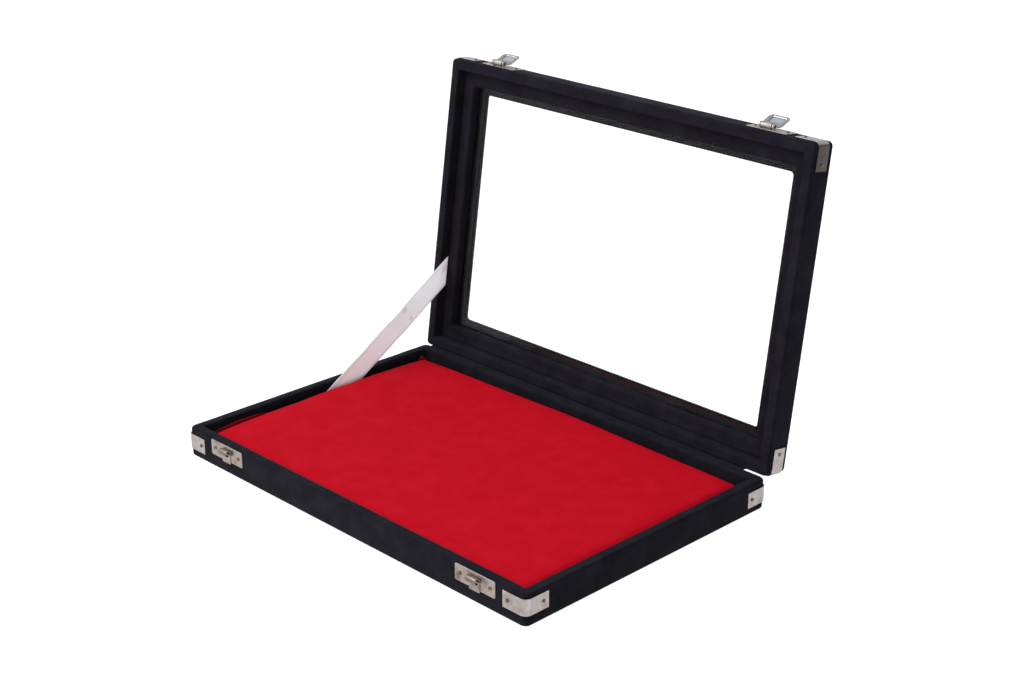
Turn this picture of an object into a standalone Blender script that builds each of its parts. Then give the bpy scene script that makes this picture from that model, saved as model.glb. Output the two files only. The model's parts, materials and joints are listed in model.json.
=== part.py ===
"""Glass-lidded display case: a shallow velvet-covered tray with a padded floor, a cloth-hinged lid
that holds a glass pane, a ribbon stay, corner straps and two small hasps. Metres, +Z up.

The origin is the middle of the underside. +X runs along the length, -Y is the front with the hasps.
Everything is worked out with the lid shut. The lid's pieces hang on an empty on the hinge line and
each hasp on an empty on its own bar, and turning those empties opens the case.
"""

import math

import bmesh
import bpy
from mathutils import Matrix, Vector

# The case as a whole
CASE_LENGTH = 0.3048
CASE_DEPTH = 0.2032
BASE_HEIGHT = 0.0195
LID_HEIGHT = 0.0181
RIM_GAP = 0.0005
OPEN_ANGLE = math.radians(98.1)
CORNER_RADIUS = 0.004
INNER_CORNER_RADIUS = 0.0008
RIM_RADIUS = 0.0015

# Walls: a wooden rail inside a velvet skin
FIT_GAP = 0.0003
VELVET = 0.0006
RAIL = 0.0052
PANEL = 0.003
FOLD_UNDER = 0.016
UNDER_RADIUS = 0.001

# Pad on the floor of the tray
PAD_DROP = 0.0047
PAD_GAP_LEFT = 0.0012
PAD_GAP_RIGHT = 0.001
PAD_GAP_FRONT = 0.001
PAD_GAP_BACK = 0.0022
PAD_CORNER_RADIUS = 0.003
PAD_EDGE_RADIUS = 0.002
PAD_BOARD = 0.002
PAD_COVER = 0.0005
PAD_FOLD = 0.014

# Window in the lid
WINDOW_BORDER = 0.022
WINDOW_EDGE_RADIUS = 0.001
LIP_BOARD = 0.0027
GLASS = 0.0023
GLASS_PLAY = 0.001
BEAD_BORDER = 0.017
BEAD_DEPTH = 0.0052
BEAD_RADIUS = 0.002

# Corner straps, bent from tinned sheet
SHEET = 0.0005
STRAP_WIDTH = 0.0102
STRAP_LEG = 0.0168
STRAP_NAIL_INSET = 0.0132
BASE_STRAPS_ABOVE_MIDDLE = {
    "front_left": 0.00045,
    "front_right": 0.00215,
    "back_left": 0.00065,
    "back_right": 0.00005,
}
LID_STRAPS_ABOVE_MIDDLE = {
    "front_left": 0.00035,
    "front_right": -0.00085,
    "back_left": -0.00025,
    "back_right": 0.00025,
}

# Brass nails
NAIL_HEAD_RADIUS = 0.0011
NAIL_HEAD_HEIGHT = 0.0005
NAIL_RADIUS = 0.00045
NAIL_LENGTH = 0.0036
NAIL_SHOULDER = math.radians(45)
NAIL_SIDES = 10

# Hasps and catches
CLASP_INSET_LEFT = 0.0406
CLASP_INSET_RIGHT = 0.0384
CATCH_PLATE_WIDTH = 0.0318
CATCH_PLATE_HEIGHT = 0.0103
CATCH_PLATE_DROP = 0.0004
HASP_PLATE_WIDTH = 0.0300
HASP_PLATE_HEIGHT = 0.0124
HASP_PLATE_RISE = 0.0028
PLATE_CORNER_RADIUS = 0.0011
PLATE_NAIL_SPACING = 0.0240
CATCH_HOOK_WIDTH = 0.0082
CATCH_HOOK_RADIUS = 0.0017
CATCH_TAB = 0.001
CATCH_TONGUE_SINK = 0.00005
CATCH_HOOK_END = math.radians(-115)
HASP_BAR_RADIUS = 0.0011
HASP_BAR_CLEARANCE = 0.00035
HASP_BAR_END_GAP = 0.0004
HASP_BAR_LEG = 0.0012
HASP_BAR_RISE = 0.0016
HASP_ROLL_WIDTH = 0.0075
HASP_WIDTH = 0.0152
HASP_LENGTH = 0.0132
HASP_NECK = 0.0026
HASP_CORNER_RADIUS = 0.0016
HASP_POCKET_WIDTH = 0.0098
HASP_POCKET_END_BORDER = 0.0014
HASP_POCKET_PLAY = 0.0005
HASP_ROLL_TURN = math.radians(285)
HASP_OPEN_ANGLE = math.radians(151)

# Ribbon stay and hinge cloth
RIBBON_WIDTH = 0.016
RIBBON = 0.0004
RIBBON_FOOT_RISE = 0.0012
RIBBON_FOOT_FROM_HINGE = 0.0962
RIBBON_TOP_FROM_HINGE = 0.0547
HINGE_CLOTH = 0.0005
HINGE_CLOTH_LEAF = 0.0115
HINGE_CLOTH_INSET_LEFT = 0.005
HINGE_CLOTH_INSET_RIGHT = 0.016

ARC_STEP = math.radians(30)
RAIL_EDGE_STEPS = 2
ROUNDING = 1e-6

# Sizes that follow from those above
SKIN = VELVET + FIT_GAP
WALL = RAIL + 2 * SKIN
RAIL_EDGE_RADIUS = max(RIM_RADIUS - SKIN, 0)
HALF_LENGTH = CASE_LENGTH / 2
HALF_DEPTH = CASE_DEPTH / 2
LID_FLOOR = BASE_HEIGHT + RIM_GAP
CASE_TOP = LID_FLOOR + LID_HEIGHT
HINGE = Vector((0, HALF_DEPTH, BASE_HEIGHT + RIM_GAP / 2))
PANEL_LOW = VELVET + FIT_GAP
TRAY_FLOOR = PANEL_LOW + PANEL
PAD_TOP = BASE_HEIGHT - PAD_DROP
LIP_TOP = CASE_TOP - SKIN
LIP_LOW = LIP_TOP - LIP_BOARD
GLASS_TOP = LIP_LOW - FIT_GAP
GLASS_LOW = GLASS_TOP - GLASS
BEAD_TOP = GLASS_LOW - FIT_GAP
BEAD_LOW = BEAD_TOP - BEAD_DEPTH
SHEET_FACE = FIT_GAP + SHEET
NAIL_HOLE_RADIUS = NAIL_RADIUS + FIT_GAP
ROLL_INNER = HASP_BAR_RADIUS + HASP_BAR_CLEARANCE
ROLL_OUTER = ROLL_INNER + SHEET
ROLL_MIDDLE = ROLL_INNER + SHEET / 2
BAR_PROUD = SHEET_FACE + FIT_GAP + ROLL_OUTER
BAR_HEIGHT = LID_FLOOR + HASP_PLATE_RISE + HASP_BAR_RISE
CATCH_TOP = BASE_HEIGHT - CATCH_PLATE_DROP
CATCH_LOW = CATCH_TOP - CATCH_PLATE_HEIGHT
TONGUE_MIDDLE = SHEET_FACE + SHEET / 2 - CATCH_TONGUE_SINK
HOOK_RISE = CATCH_HOOK_RADIUS + SHEET + HASP_POCKET_PLAY
POCKET_LOW = BAR_HEIGHT - HASP_LENGTH + HASP_POCKET_END_BORDER
HOOK_HEIGHT = POCKET_LOW + HOOK_RISE
BASE_STRAP_HEIGHTS = {c: BASE_HEIGHT / 2 + rise for c, rise in BASE_STRAPS_ABOVE_MIDDLE.items()}
LID_STRAP_HEIGHTS = {c: LID_HEIGHT / 2 + rise for c, rise in LID_STRAPS_ABOVE_MIDDLE.items()}
CLASP_CENTRES = {
    "left": CLASP_INSET_LEFT - HALF_LENGTH,
    "right": HALF_LENGTH - CLASP_INSET_RIGHT,
}


# Building blocks ---------------------------------------------------------------------------------

def clear_scene():
    for old in list(bpy.data.objects):
        bpy.data.objects.remove(old, do_unlink=True)


def make_material(name, colour, roughness, metallic=0.0):
    material = bpy.data.materials.new(name)
    material.use_nodes = True
    shader = material.node_tree.nodes["Principled BSDF"]
    shader.inputs["Base Color"].default_value = (*colour, 1)
    shader.inputs["Roughness"].default_value = roughness
    shader.inputs["Metallic"].default_value = metallic
    return material


def make_pivot(name, place, angle, parent=None):
    """An empty on a joint's axis, turned about X by angle. Its parent's place is taken off its own."""
    pivot = bpy.data.objects.new(name, None)
    bpy.context.collection.objects.link(pivot)
    pivot["place"] = tuple(place)
    origin = Vector(parent["place"]) if parent else Vector()
    pivot.parent = parent
    pivot.location = Vector(place) - origin
    pivot.rotation_euler.x = angle
    return pivot


def add_object(name, mesh_data, material, pivot=None):
    """An object from a bmesh in shut-case coordinates, hung on a pivot if it moves."""
    bmesh.ops.recalc_face_normals(mesh_data, faces=mesh_data.faces)
    if pivot:
        bmesh.ops.translate(mesh_data, verts=mesh_data.verts, vec=-Vector(pivot["place"]))
    mesh = bpy.data.meshes.new(name)
    mesh_data.to_mesh(mesh)
    mesh_data.free()
    made = bpy.data.objects.new(name, mesh)
    bpy.context.collection.objects.link(made)
    made.parent = pivot
    if material:
        mesh.materials.append(material)
    return made


def make_cutter(name, mesh_data, pivot=None):
    cutter = add_object(name, mesh_data, None, pivot)
    cutter.hide_render = True
    cutter.display_type = "WIRE"
    return cutter


def join(target, other, operation):
    modifier = target.modifiers.new(operation.lower(), "BOOLEAN")
    modifier.operation = operation
    modifier.solver = "EXACT"
    modifier.object = other


def arc(centre, radius, start, end):
    """Points on an arc, from one angle to the other, both included."""
    steps = max(1, math.ceil(abs(end - start) / ARC_STEP - ROUNDING))
    turns = [start + (end - start) * k / steps for k in range(steps + 1)]
    return [(centre[0] + radius * math.cos(a), centre[1] + radius * math.sin(a)) for a in turns]


def rounded_rectangle(low_x, high_x, low_y, high_y, radius):
    """Counter-clockwise outline with four round corners."""
    quarter = math.pi / 2
    corners = (
        (high_x - radius, low_y + radius, -quarter),
        (high_x - radius, high_y - radius, 0),
        (low_x + radius, high_y - radius, quarter),
        (low_x + radius, low_y + radius, 2 * quarter),
    )
    outline = []
    for x, y, start in corners:
        outline += arc((x, y), radius, start, start + quarter)
    return outline


def case_outline(inset):
    """The case's plan outline, moved inwards, with its corner radius reduced to match."""
    radius = max(CORNER_RADIUS - inset, INNER_CORNER_RADIUS)
    x = HALF_LENGTH - inset
    y = HALF_DEPTH - inset
    return rounded_rectangle(-x, x, -y, y, radius)


def prism(outline, low, high, frame=Matrix.Identity(4)):
    """A closed prism over a plane outline, from low to high along the frame's Z."""
    made = bmesh.new()
    bottom = [made.verts.new(frame @ Vector((x, y, low))) for x, y in outline]
    top = [made.verts.new(frame @ Vector((x, y, high))) for x, y in outline]
    made.faces.new(list(reversed(bottom)))
    made.faces.new(top)
    count = len(outline)
    for k in range(count):
        after = (k + 1) % count
        made.faces.new((bottom[k], bottom[after], top[after], top[k]))
    return made


def box(low, high):
    corners = [(low[0], low[1]), (high[0], low[1]), (high[0], high[1]), (low[0], high[1])]
    return prism(corners, low[2], high[2])


def frame_around(section):
    """A closed ring: each point (inset, height) of the section is carried round the case's outline."""
    made = bmesh.new()
    loops = []
    for inset, height in section:
        loops.append([made.verts.new((x, y, height)) for x, y in case_outline(inset)])
    count = len(loops[0])
    for index, loop in enumerate(loops):
        other = loops[(index + 1) % len(loops)]
        for k in range(count):
            after = (k + 1) % count
            made.faces.new((loop[k], loop[after], other[after], other[k]))
    return made


def thicken(path, thickness):
    """A closed outline: the path moved to both sides by half the thickness, with mitred bends."""
    points = [Vector(p) for p in path]
    runs = [(after - before).normalized() for before, after in zip(points, points[1:])]
    one_side = []
    other_side = []
    for point, behind, ahead in zip(points, runs[:1] + runs, runs + runs[-1:]):
        along = (ahead + behind).normalized()
        half = thickness / 2 / along.dot(ahead)
        across = Vector((-along.y, along.x)) * half
        one_side.append(point + across)
        other_side.append(point - across)
    return [tuple(p) for p in one_side + other_side[::-1]]


def side_frame(x=0.0):
    """Outline (y, z) in its XY plane, drawn out along the case's X."""
    return Matrix(((0, 0, 1, x), (1, 0, 0, 0), (0, 1, 0, 0), (0, 0, 0, 1)))


def front_frame():
    """Outline (x, z) in its XY plane, drawn out from the front face towards -Y."""
    return Matrix(((1, 0, 0, 0), (0, 0, -1, -HALF_DEPTH), (0, 1, 0, 0), (0, 0, 0, 1)))


def turned(profile, frame, sides=NAIL_SIDES):
    """A closed solid turned about the frame's Z from (radius, height) points that end on the axis."""
    made = bmesh.new()
    rings = []
    for radius, height in profile:
        if radius == 0:
            rings.append([made.verts.new(frame @ Vector((0, 0, height)))])
            continue
        turns = [2 * math.pi * k / sides for k in range(sides)]
        ring = [Vector((radius * math.cos(a), radius * math.sin(a), height)) for a in turns]
        rings.append([made.verts.new(frame @ point) for point in ring])
    for ring, other in zip(rings, rings[1:]):
        for k in range(sides):
            after = (k + 1) % sides
            corners = [ring[k % len(ring)], ring[after % len(ring)]]
            corners += [other[after % len(other)], other[k % len(other)]]
            made.faces.new(list(dict.fromkeys(corners)))
    return made


# Nails -------------------------------------------------------------------------------------------

def outward_frame(place, outward):
    """A frame at place whose Z is the outward direction of a wall."""
    outward = Vector(outward)
    up = Vector((0, 0, 1))
    across = up.cross(outward)
    columns = (across, up, outward, Vector(place))
    return Matrix([[column[row] for column in columns] for row in range(3)] + [[0, 0, 0, 1]])


def nail(place, outward):
    """A domed nail: place is on the wall's velvet face, and its head sits on the sheet metal."""
    seat = SHEET_FACE + FIT_GAP
    shoulder_radius = NAIL_HEAD_RADIUS * math.cos(NAIL_SHOULDER)
    shoulder_height = seat + NAIL_HEAD_HEIGHT * math.sin(NAIL_SHOULDER)
    profile = [
        (0, -NAIL_LENGTH),
        (NAIL_RADIUS, -NAIL_LENGTH + NAIL_RADIUS),
        (NAIL_RADIUS, seat),
        (NAIL_HEAD_RADIUS, seat),
        (shoulder_radius, shoulder_height),
        (0, seat + NAIL_HEAD_HEIGHT),
    ]
    return turned(profile, outward_frame(place, outward))


def nail_holes(spots):
    """One mesh with a plug for every nail, from inside the rail to clear of the sheet metal."""
    made = bmesh.new()
    for place, outward in spots:
        low = -NAIL_LENGTH - FIT_GAP
        high = SHEET_FACE + FIT_GAP
        profile = [(0, low), (NAIL_HOLE_RADIUS, low), (NAIL_HOLE_RADIUS, high), (0, high)]
        plug = turned(profile, outward_frame(place, outward))
        bmesh.ops.recalc_face_normals(plug, faces=plug.faces)
        mesh = bpy.data.meshes.new("plug")
        plug.to_mesh(mesh)
        plug.free()
        made.from_mesh(mesh)
        bpy.data.meshes.remove(mesh)
    return made


def corner_signs(corner):
    return (1 if "right" in corner else -1, 1 if "back" in corner else -1)


def strap_nail_spots(floor, heights):
    """Name, place and outward direction of the two nails of each corner strap."""
    spots = []
    for corner, height in heights.items():
        sx, sy = corner_signs(corner)
        along_x = (sx * (HALF_LENGTH - STRAP_NAIL_INSET), sy * HALF_DEPTH, floor + height)
        along_y = (sx * HALF_LENGTH, sy * (HALF_DEPTH - STRAP_NAIL_INSET), floor + height)
        spots.append((corner + "_a", along_x, (0, sy, 0)))
        spots.append((corner + "_b", along_y, (sx, 0, 0)))
    return spots


def plate_nail_spots(height):
    """Name, place and outward direction of the two nails of each plate on the front."""
    spots = []
    for side, centre in CLASP_CENTRES.items():
        for end, offset in (("a", -PLATE_NAIL_SPACING / 2), ("b", PLATE_NAIL_SPACING / 2)):
            spots.append((side + "_" + end, (centre + offset, -HALF_DEPTH, height), (0, -1, 0)))
    return spots


# Carcass: rails, panel, lining and velvet ----------------------------------------------------------

def rounded_rim(solid, rim):
    """The solid with the edges in the rim's plane rounded, concentric with the velvet's own bend."""
    edges = [e for e in solid.edges if all(abs(v.co.z - rim) < ROUNDING for v in e.verts)]
    if RAIL_EDGE_RADIUS > 0:
        bmesh.ops.bevel(
            solid,
            geom=edges,
            offset=RAIL_EDGE_RADIUS,
            segments=RAIL_EDGE_STEPS,
            profile=0.5,
            affect="EDGES",
        )
    return solid


def add_rails(prefix, low, high, rim, material, pivot, holes):
    """Side rails run the full depth with rounded outer corners. Front and back fit between them.

    rim is the height, low or high, of the edges that the velvet is drawn over."""
    outer_x = HALF_LENGTH - SKIN
    outer_y = HALF_DEPTH - SKIN
    corner = max(CORNER_RADIUS - SKIN, INNER_CORNER_RADIUS)
    quarter = math.pi / 2
    for side, sign in (("left", -1), ("right", 1)):
        outline = [(outer_x - RAIL, -outer_y)]
        outline += arc((outer_x - corner, corner - outer_y), corner, -quarter, 0)
        outline += arc((outer_x - corner, outer_y - corner), corner, 0, quarter)
        outline.append((outer_x - RAIL, outer_y))
        solid = rounded_rim(prism([(sign * x, y) for x, y in outline], low, high), rim)
        join(add_object(f"{prefix}_{side}_rail", solid, material, pivot), holes, "DIFFERENCE")
    inner_x = outer_x - RAIL - FIT_GAP
    for side, sign in (("front", -1), ("back", 1)):
        edges = sorted((sign * outer_y, sign * (outer_y - RAIL)))
        solid = rounded_rim(box((-inner_x, edges[0], low), (inner_x, edges[1], high)), rim)
        join(add_object(f"{prefix}_{side}_rail", solid, material, pivot), holes, "DIFFERENCE")


def wall_path(far_inset, far_height, rim, far_side):
    """Velvet's middle line over a wall's rim, from the inner skirt's end to the outer face.

    rim is the rim's height, and far_side is -1 where the skirts hang down from the rim and
    +1 where they stand up from it."""
    half = VELVET / 2
    bend = RIM_RADIUS - half
    quarter = math.pi / 2
    inner_centre = (WALL - RIM_RADIUS, rim + far_side * RIM_RADIUS)
    outer_centre = (RIM_RADIUS, rim + far_side * RIM_RADIUS)
    path = [(far_inset, far_height)]
    path += arc(inner_centre, bend, 0, -far_side * quarter)
    path += arc(outer_centre, bend, -far_side * quarter, -far_side * 2 * quarter)
    return path


def base_velvet_section():
    """Inner skirt, over the rim, down the outside and folded under the panel."""
    half = VELVET / 2
    bend = UNDER_RADIUS - half
    path = wall_path(WALL - half, TRAY_FLOOR + FIT_GAP, BASE_HEIGHT, -1)
    path += arc((UNDER_RADIUS, UNDER_RADIUS), bend, math.pi, math.pi * 3 / 2)
    path.append((FOLD_UNDER, half))
    return thicken(path, VELVET)


def lid_velvet_section():
    """Inner skirt, over the rim, up the outside, across the border and round the window's edge."""
    half = VELVET / 2
    quarter = math.pi / 2
    path = wall_path(WALL - half, BEAD_TOP, LID_FLOOR, 1)
    top_bend = RIM_RADIUS - half
    path += arc((RIM_RADIUS, CASE_TOP - RIM_RADIUS), top_bend, math.pi, quarter)
    edge_bend = WINDOW_EDGE_RADIUS - half
    edge_centre = (WINDOW_BORDER - WINDOW_EDGE_RADIUS, CASE_TOP - WINDOW_EDGE_RADIUS)
    path += arc(edge_centre, edge_bend, quarter, 0)
    path.append((WINDOW_BORDER - half, LIP_LOW))
    return thicken(path, VELVET)


def add_base(wood, hardboard, velvet, paper, holes):
    low = TRAY_FLOOR + FIT_GAP
    high = BASE_HEIGHT - SKIN
    add_rails("base", low, high, high, wood, None, holes)
    add_object("base_panel", prism(case_outline(SKIN), PANEL_LOW, TRAY_FLOOR), hardboard)
    lining = prism(case_outline(FOLD_UNDER + FIT_GAP), 0, VELVET)
    add_object("underside_lining", lining, paper)
    skin = add_object("base_velvet", frame_around(base_velvet_section()), velvet)
    join(skin, holes, "DIFFERENCE")


def add_lid(wood, hardboard, velvet, glass, pivot, holes):
    low = LID_FLOOR + SKIN
    add_rails("lid", low, LIP_LOW - FIT_GAP, low, wood, pivot, holes)
    edge = WINDOW_BORDER - SKIN
    centre = (SKIN + RAIL_EDGE_RADIUS, LIP_TOP - RAIL_EDGE_RADIUS)
    section = [(SKIN, LIP_LOW), (edge, LIP_LOW), (edge, LIP_TOP)]
    section += arc(centre, RAIL_EDGE_RADIUS, math.pi / 2, math.pi)
    add_object("lid_window_board", frame_around(section), hardboard, pivot)
    skin = add_object("lid_velvet", frame_around(lid_velvet_section()), velvet, pivot)
    join(skin, holes, "DIFFERENCE")
    pane = prism(case_outline(WALL + GLASS_PLAY), GLASS_LOW, GLASS_TOP)
    add_object("glass_pane", pane, glass, pivot)
    section = [(WALL + FIT_GAP, BEAD_LOW)]
    centre = (BEAD_BORDER - BEAD_RADIUS, BEAD_LOW + BEAD_RADIUS)
    section += arc(centre, BEAD_RADIUS, -math.pi / 2, 0)
    section += [(BEAD_BORDER, BEAD_TOP), (WALL + FIT_GAP, BEAD_TOP)]
    add_object("glass_bead", frame_around(section), velvet, pivot)


# Pad ---------------------------------------------------------------------------------------------

def pad_outline(inset):
    radius = max(PAD_CORNER_RADIUS - inset, INNER_CORNER_RADIUS)
    low_x = -HALF_LENGTH + WALL + PAD_GAP_LEFT + inset
    high_x = HALF_LENGTH - WALL - PAD_GAP_RIGHT - inset
    low_y = -HALF_DEPTH + WALL + PAD_GAP_FRONT + inset
    high_y = HALF_DEPTH - WALL - PAD_GAP_BACK - inset
    return rounded_rectangle(low_x, high_x, low_y, high_y, radius)


def lofted(levels):
    """A closed solid through (inset, height) levels of the pad's outline, capped at both ends."""
    made = bmesh.new()
    loops = []
    for inset, height in levels:
        loops.append([made.verts.new((x, y, height)) for x, y in pad_outline(inset)])
    for loop, other in zip(loops, loops[1:]):
        for k in range(len(loop)):
            after = (k + 1) % len(loop)
            made.faces.new((loop[k], loop[after], other[after], other[k]))
    made.faces.new(loops[-1])
    made.faces.new(list(reversed(loops[0])))
    return made


def add_pad(board, foam, cloth):
    """Card, foam on it, and a cloth cover drawn over both and folded under the card."""
    low = TRAY_FLOOR + FIT_GAP
    card_low = low + PAD_COVER + FIT_GAP
    foam_low = card_low + PAD_BOARD + FIT_GAP
    foam_top = PAD_TOP - PAD_COVER - FIT_GAP
    inset = PAD_COVER + FIT_GAP
    add_object("pad_card", lofted([(inset, card_low), (inset, card_low + PAD_BOARD)]), board)
    bend = PAD_EDGE_RADIUS - inset
    shoulder = arc((PAD_EDGE_RADIUS, foam_top - bend), bend, math.pi, math.pi / 2)
    add_object("pad_foam", lofted([(inset, foam_low)] + shoulder), foam)
    centre = (PAD_EDGE_RADIUS, PAD_TOP - PAD_EDGE_RADIUS)
    sheet = arc(centre, PAD_EDGE_RADIUS, math.pi / 2, math.pi)
    sheet += [(0, low), (PAD_FOLD, low), (PAD_FOLD, low + PAD_COVER), (PAD_COVER, low + PAD_COVER)]
    sheet += arc(centre, PAD_EDGE_RADIUS - PAD_COVER, math.pi, math.pi / 2)
    add_object("pad_cover", lofted(sheet), cloth)


# Metalwork ---------------------------------------------------------------------------------------

def strap(corner, low):
    """A strip bent round an upright corner, with a leg along each wall."""
    sx, sy = corner_signs(corner)
    middle = FIT_GAP + SHEET / 2
    radius = CORNER_RADIUS + middle
    centre = (HALF_LENGTH - CORNER_RADIUS, HALF_DEPTH - CORNER_RADIUS)
    path = [(HALF_LENGTH - STRAP_LEG, HALF_DEPTH + middle)]
    path += arc(centre, radius, math.pi / 2, 0)
    path.append((HALF_LENGTH + middle, HALF_DEPTH - STRAP_LEG))
    outline = [(sx * x, sy * y) for x, y in thicken(path, SHEET)]
    return prism(outline, low, low + STRAP_WIDTH)


def add_straps(prefix, floor, heights, tin, pivot, holes):
    for corner, height in heights.items():
        solid = strap(corner, floor + height - STRAP_WIDTH / 2)
        join(add_object(f"{prefix}_strap_{corner}", solid, tin, pivot), holes, "DIFFERENCE")


def front_plate(centre, width, low, high):
    half = width / 2
    outline = rounded_rectangle(centre - half, centre + half, low, high, PLATE_CORNER_RADIUS)
    return prism(outline, FIT_GAP, SHEET_FACE, front_frame())


def drawn_along_x(outline, centre, width):
    """A prism from an outline of (distance in front of the velvet, height) points."""
    points = [(-HALF_DEPTH - proud, height) for proud, height in outline]
    return prism(points, -width / 2, width / 2, side_frame(centre))


def catch_tongue(centre):
    """The strip at the catch plate's middle: a tab below the plate, then up its face into a hook."""
    hook_centre = (TONGUE_MIDDLE + CATCH_HOOK_RADIUS, HOOK_HEIGHT)
    path = [(TONGUE_MIDDLE, CATCH_LOW - CATCH_TAB)]
    path += arc(hook_centre, CATCH_HOOK_RADIUS, math.pi, CATCH_HOOK_END)
    return drawn_along_x(thicken(path, SHEET), centre, CATCH_HOOK_WIDTH)


def bar_solid(centre):
    """The hasp's bar: a round rod along X between two legs that stand on the hasp plate."""
    inner = HASP_ROLL_WIDTH / 2 + HASP_BAR_END_GAP
    middle = inner + HASP_BAR_LEG / 2
    axis = (-HALF_DEPTH - BAR_PROUD, BAR_HEIGHT)
    circle = arc(axis, HASP_BAR_RADIUS, 0, 2 * math.pi)[:-1]
    rod = prism(circle, -middle, middle, side_frame(centre))
    far = -HALF_DEPTH - BAR_PROUD - HASP_BAR_RADIUS
    near = -HALF_DEPTH - SHEET_FACE + SHEET / 2
    low = BAR_HEIGHT - HASP_BAR_RADIUS
    high = BAR_HEIGHT + HASP_BAR_RADIUS
    legs = []
    for sign in (-1, 1):
        edges = sorted(centre + sign * reach for reach in (inner, inner + HASP_BAR_LEG))
        legs.append(box((edges[0], far, low), (edges[1], near, high)))
    return rod, legs


def pocket_block(centre, margin, near, far):
    """A rounded block over the hook's place, larger all round by margin, between two distances."""
    half = HASP_POCKET_WIDTH / 2 + margin
    low = POCKET_LOW - margin
    high = HOOK_HEIGHT + HOOK_RISE + margin
    outline = rounded_rectangle(centre - half, centre + half, low, high, SHEET + margin)
    return prism(outline, near, far, front_frame())


def hasp_solids(centre):
    """The hasp as it hangs shut: a roll round the bar, a neck, and a flap with a pressed pocket."""
    tangent = BAR_PROUD + ROLL_MIDDLE
    path = arc((BAR_PROUD, BAR_HEIGHT), ROLL_MIDDLE, HASP_ROLL_TURN, 0)
    path.append((tangent, BAR_HEIGHT - HASP_NECK))
    roll = drawn_along_x(thicken(path, SHEET), centre, HASP_ROLL_WIDTH)
    low = BAR_HEIGHT - HASP_LENGTH
    high = BAR_HEIGHT - HASP_NECK + SHEET
    half = HASP_WIDTH / 2
    outline = rounded_rectangle(centre - half, centre + half, low, high, HASP_CORNER_RADIUS)
    flap = prism(outline, tangent - SHEET / 2, tangent + SHEET / 2, front_frame())
    reach = TONGUE_MIDDLE + 2 * CATCH_HOOK_RADIUS + SHEET / 2 + HASP_POCKET_PLAY
    pocket = pocket_block(centre, 0, tangent - SHEET, reach)
    dome = pocket_block(centre, SHEET, tangent, reach + SHEET)
    return roll, flap, dome, pocket


def add_clasps(tin, lid_pivot, base_holes, lid_holes):
    for side, centre in CLASP_CENTRES.items():
        plate = front_plate(centre, CATCH_PLATE_WIDTH, CATCH_LOW, CATCH_TOP)
        catch = add_object(f"catch_plate_{side}", plate, tin)
        join(catch, make_cutter(f"catch_tongue_{side}", catch_tongue(centre)), "UNION")
        join(catch, base_holes, "DIFFERENCE")

        low = LID_FLOOR + HASP_PLATE_RISE
        plate = front_plate(centre, HASP_PLATE_WIDTH, low, low + HASP_PLATE_HEIGHT)
        holder = add_object(f"hasp_plate_{side}", plate, tin, lid_pivot)
        rod, legs = bar_solid(centre)
        for index, leg in enumerate(legs):
            join(holder, make_cutter(f"bar_leg_{side}_{index}", leg, lid_pivot), "UNION")
        join(holder, make_cutter(f"bar_rod_{side}", rod, lid_pivot), "UNION")
        join(holder, lid_holes, "DIFFERENCE")

        axis = (0, -HALF_DEPTH - BAR_PROUD, BAR_HEIGHT)
        pivot = make_pivot(f"hasp_pivot_{side}", axis, -HASP_OPEN_ANGLE, lid_pivot)
        roll, flap, dome, pocket = hasp_solids(centre)
        hasp = add_object(f"hasp_{side}", flap, tin, pivot)
        join(hasp, make_cutter(f"hasp_dome_{side}", dome, pivot), "UNION")
        join(hasp, make_cutter(f"hasp_pocket_{side}", pocket, pivot), "DIFFERENCE")
        join(hasp, make_cutter(f"hasp_roll_{side}", roll, pivot), "UNION")


# Cloth at the hinge and the ribbon stay ------------------------------------------------------------

def opened(across, up):
    """Where a point of the lid goes when it opens: (y, z) from the hinge line, shut to open."""
    turn = -OPEN_ANGLE
    y = across * math.cos(turn) - up * math.sin(turn)
    z = across * math.sin(turn) + up * math.cos(turn)
    return (HINGE.y + y, HINGE.z + z)


def hinge_cloth_leaf(high_x):
    """One leaf flat: (x, distance from the fold). Its left ear is cut back to clear the straps."""
    base_room = min(BASE_HEIGHT - BASE_STRAP_HEIGHTS[c] for c in ("back_left", "back_right"))
    lid_room = min(LID_STRAP_HEIGHTS[c] for c in ("back_left", "back_right"))
    ear = min(base_room, lid_room) - STRAP_WIDTH / 2 - FIT_GAP
    low_x = HINGE_CLOTH_INSET_LEFT - HALF_LENGTH
    full_x = STRAP_LEG + FIT_GAP - HALF_LENGTH
    leaf = HINGE_CLOTH_LEAF
    return [(low_x, 0), (low_x, ear), (full_x, ear), (full_x, leaf), (high_x, leaf), (high_x, 0)]


def add_hinge_cloth(cloth):
    """A strip glued along both back faces, bent in the notch that they make when the lid is open."""
    high_x = HALF_LENGTH - max(HINGE_CLOTH_INSET_RIGHT, STRAP_LEG + FIT_GAP)
    leaf = hinge_cloth_leaf(high_x)
    notch = (1 - math.cos(OPEN_ANGLE)) / math.sin(OPEN_ANGLE)
    made = bmesh.new()
    sheets = []
    fold = RIM_GAP / 2
    for proud in (FIT_GAP, FIT_GAP + HINGE_CLOTH):
        base = []
        lid = []
        for x, reach in leaf:
            if reach == 0:
                base.append(made.verts.new((x, HINGE.y + proud, HINGE.z - notch * proud)))
                lid.append(base[-1])
                continue
            base.append(made.verts.new((x, HINGE.y + proud, HINGE.z - fold - reach)))
            lid.append(made.verts.new((x, *opened(proud, fold + reach))))
        made.faces.new(base)
        made.faces.new(lid)
        sheets.append((base, lid))
    for inner, outer in zip(*sheets):
        for k in range(len(leaf) - 1):
            made.faces.new((inner[k], inner[k + 1], outer[k + 1], outer[k]))
    add_object("hinge_cloth", made, cloth)


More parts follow.
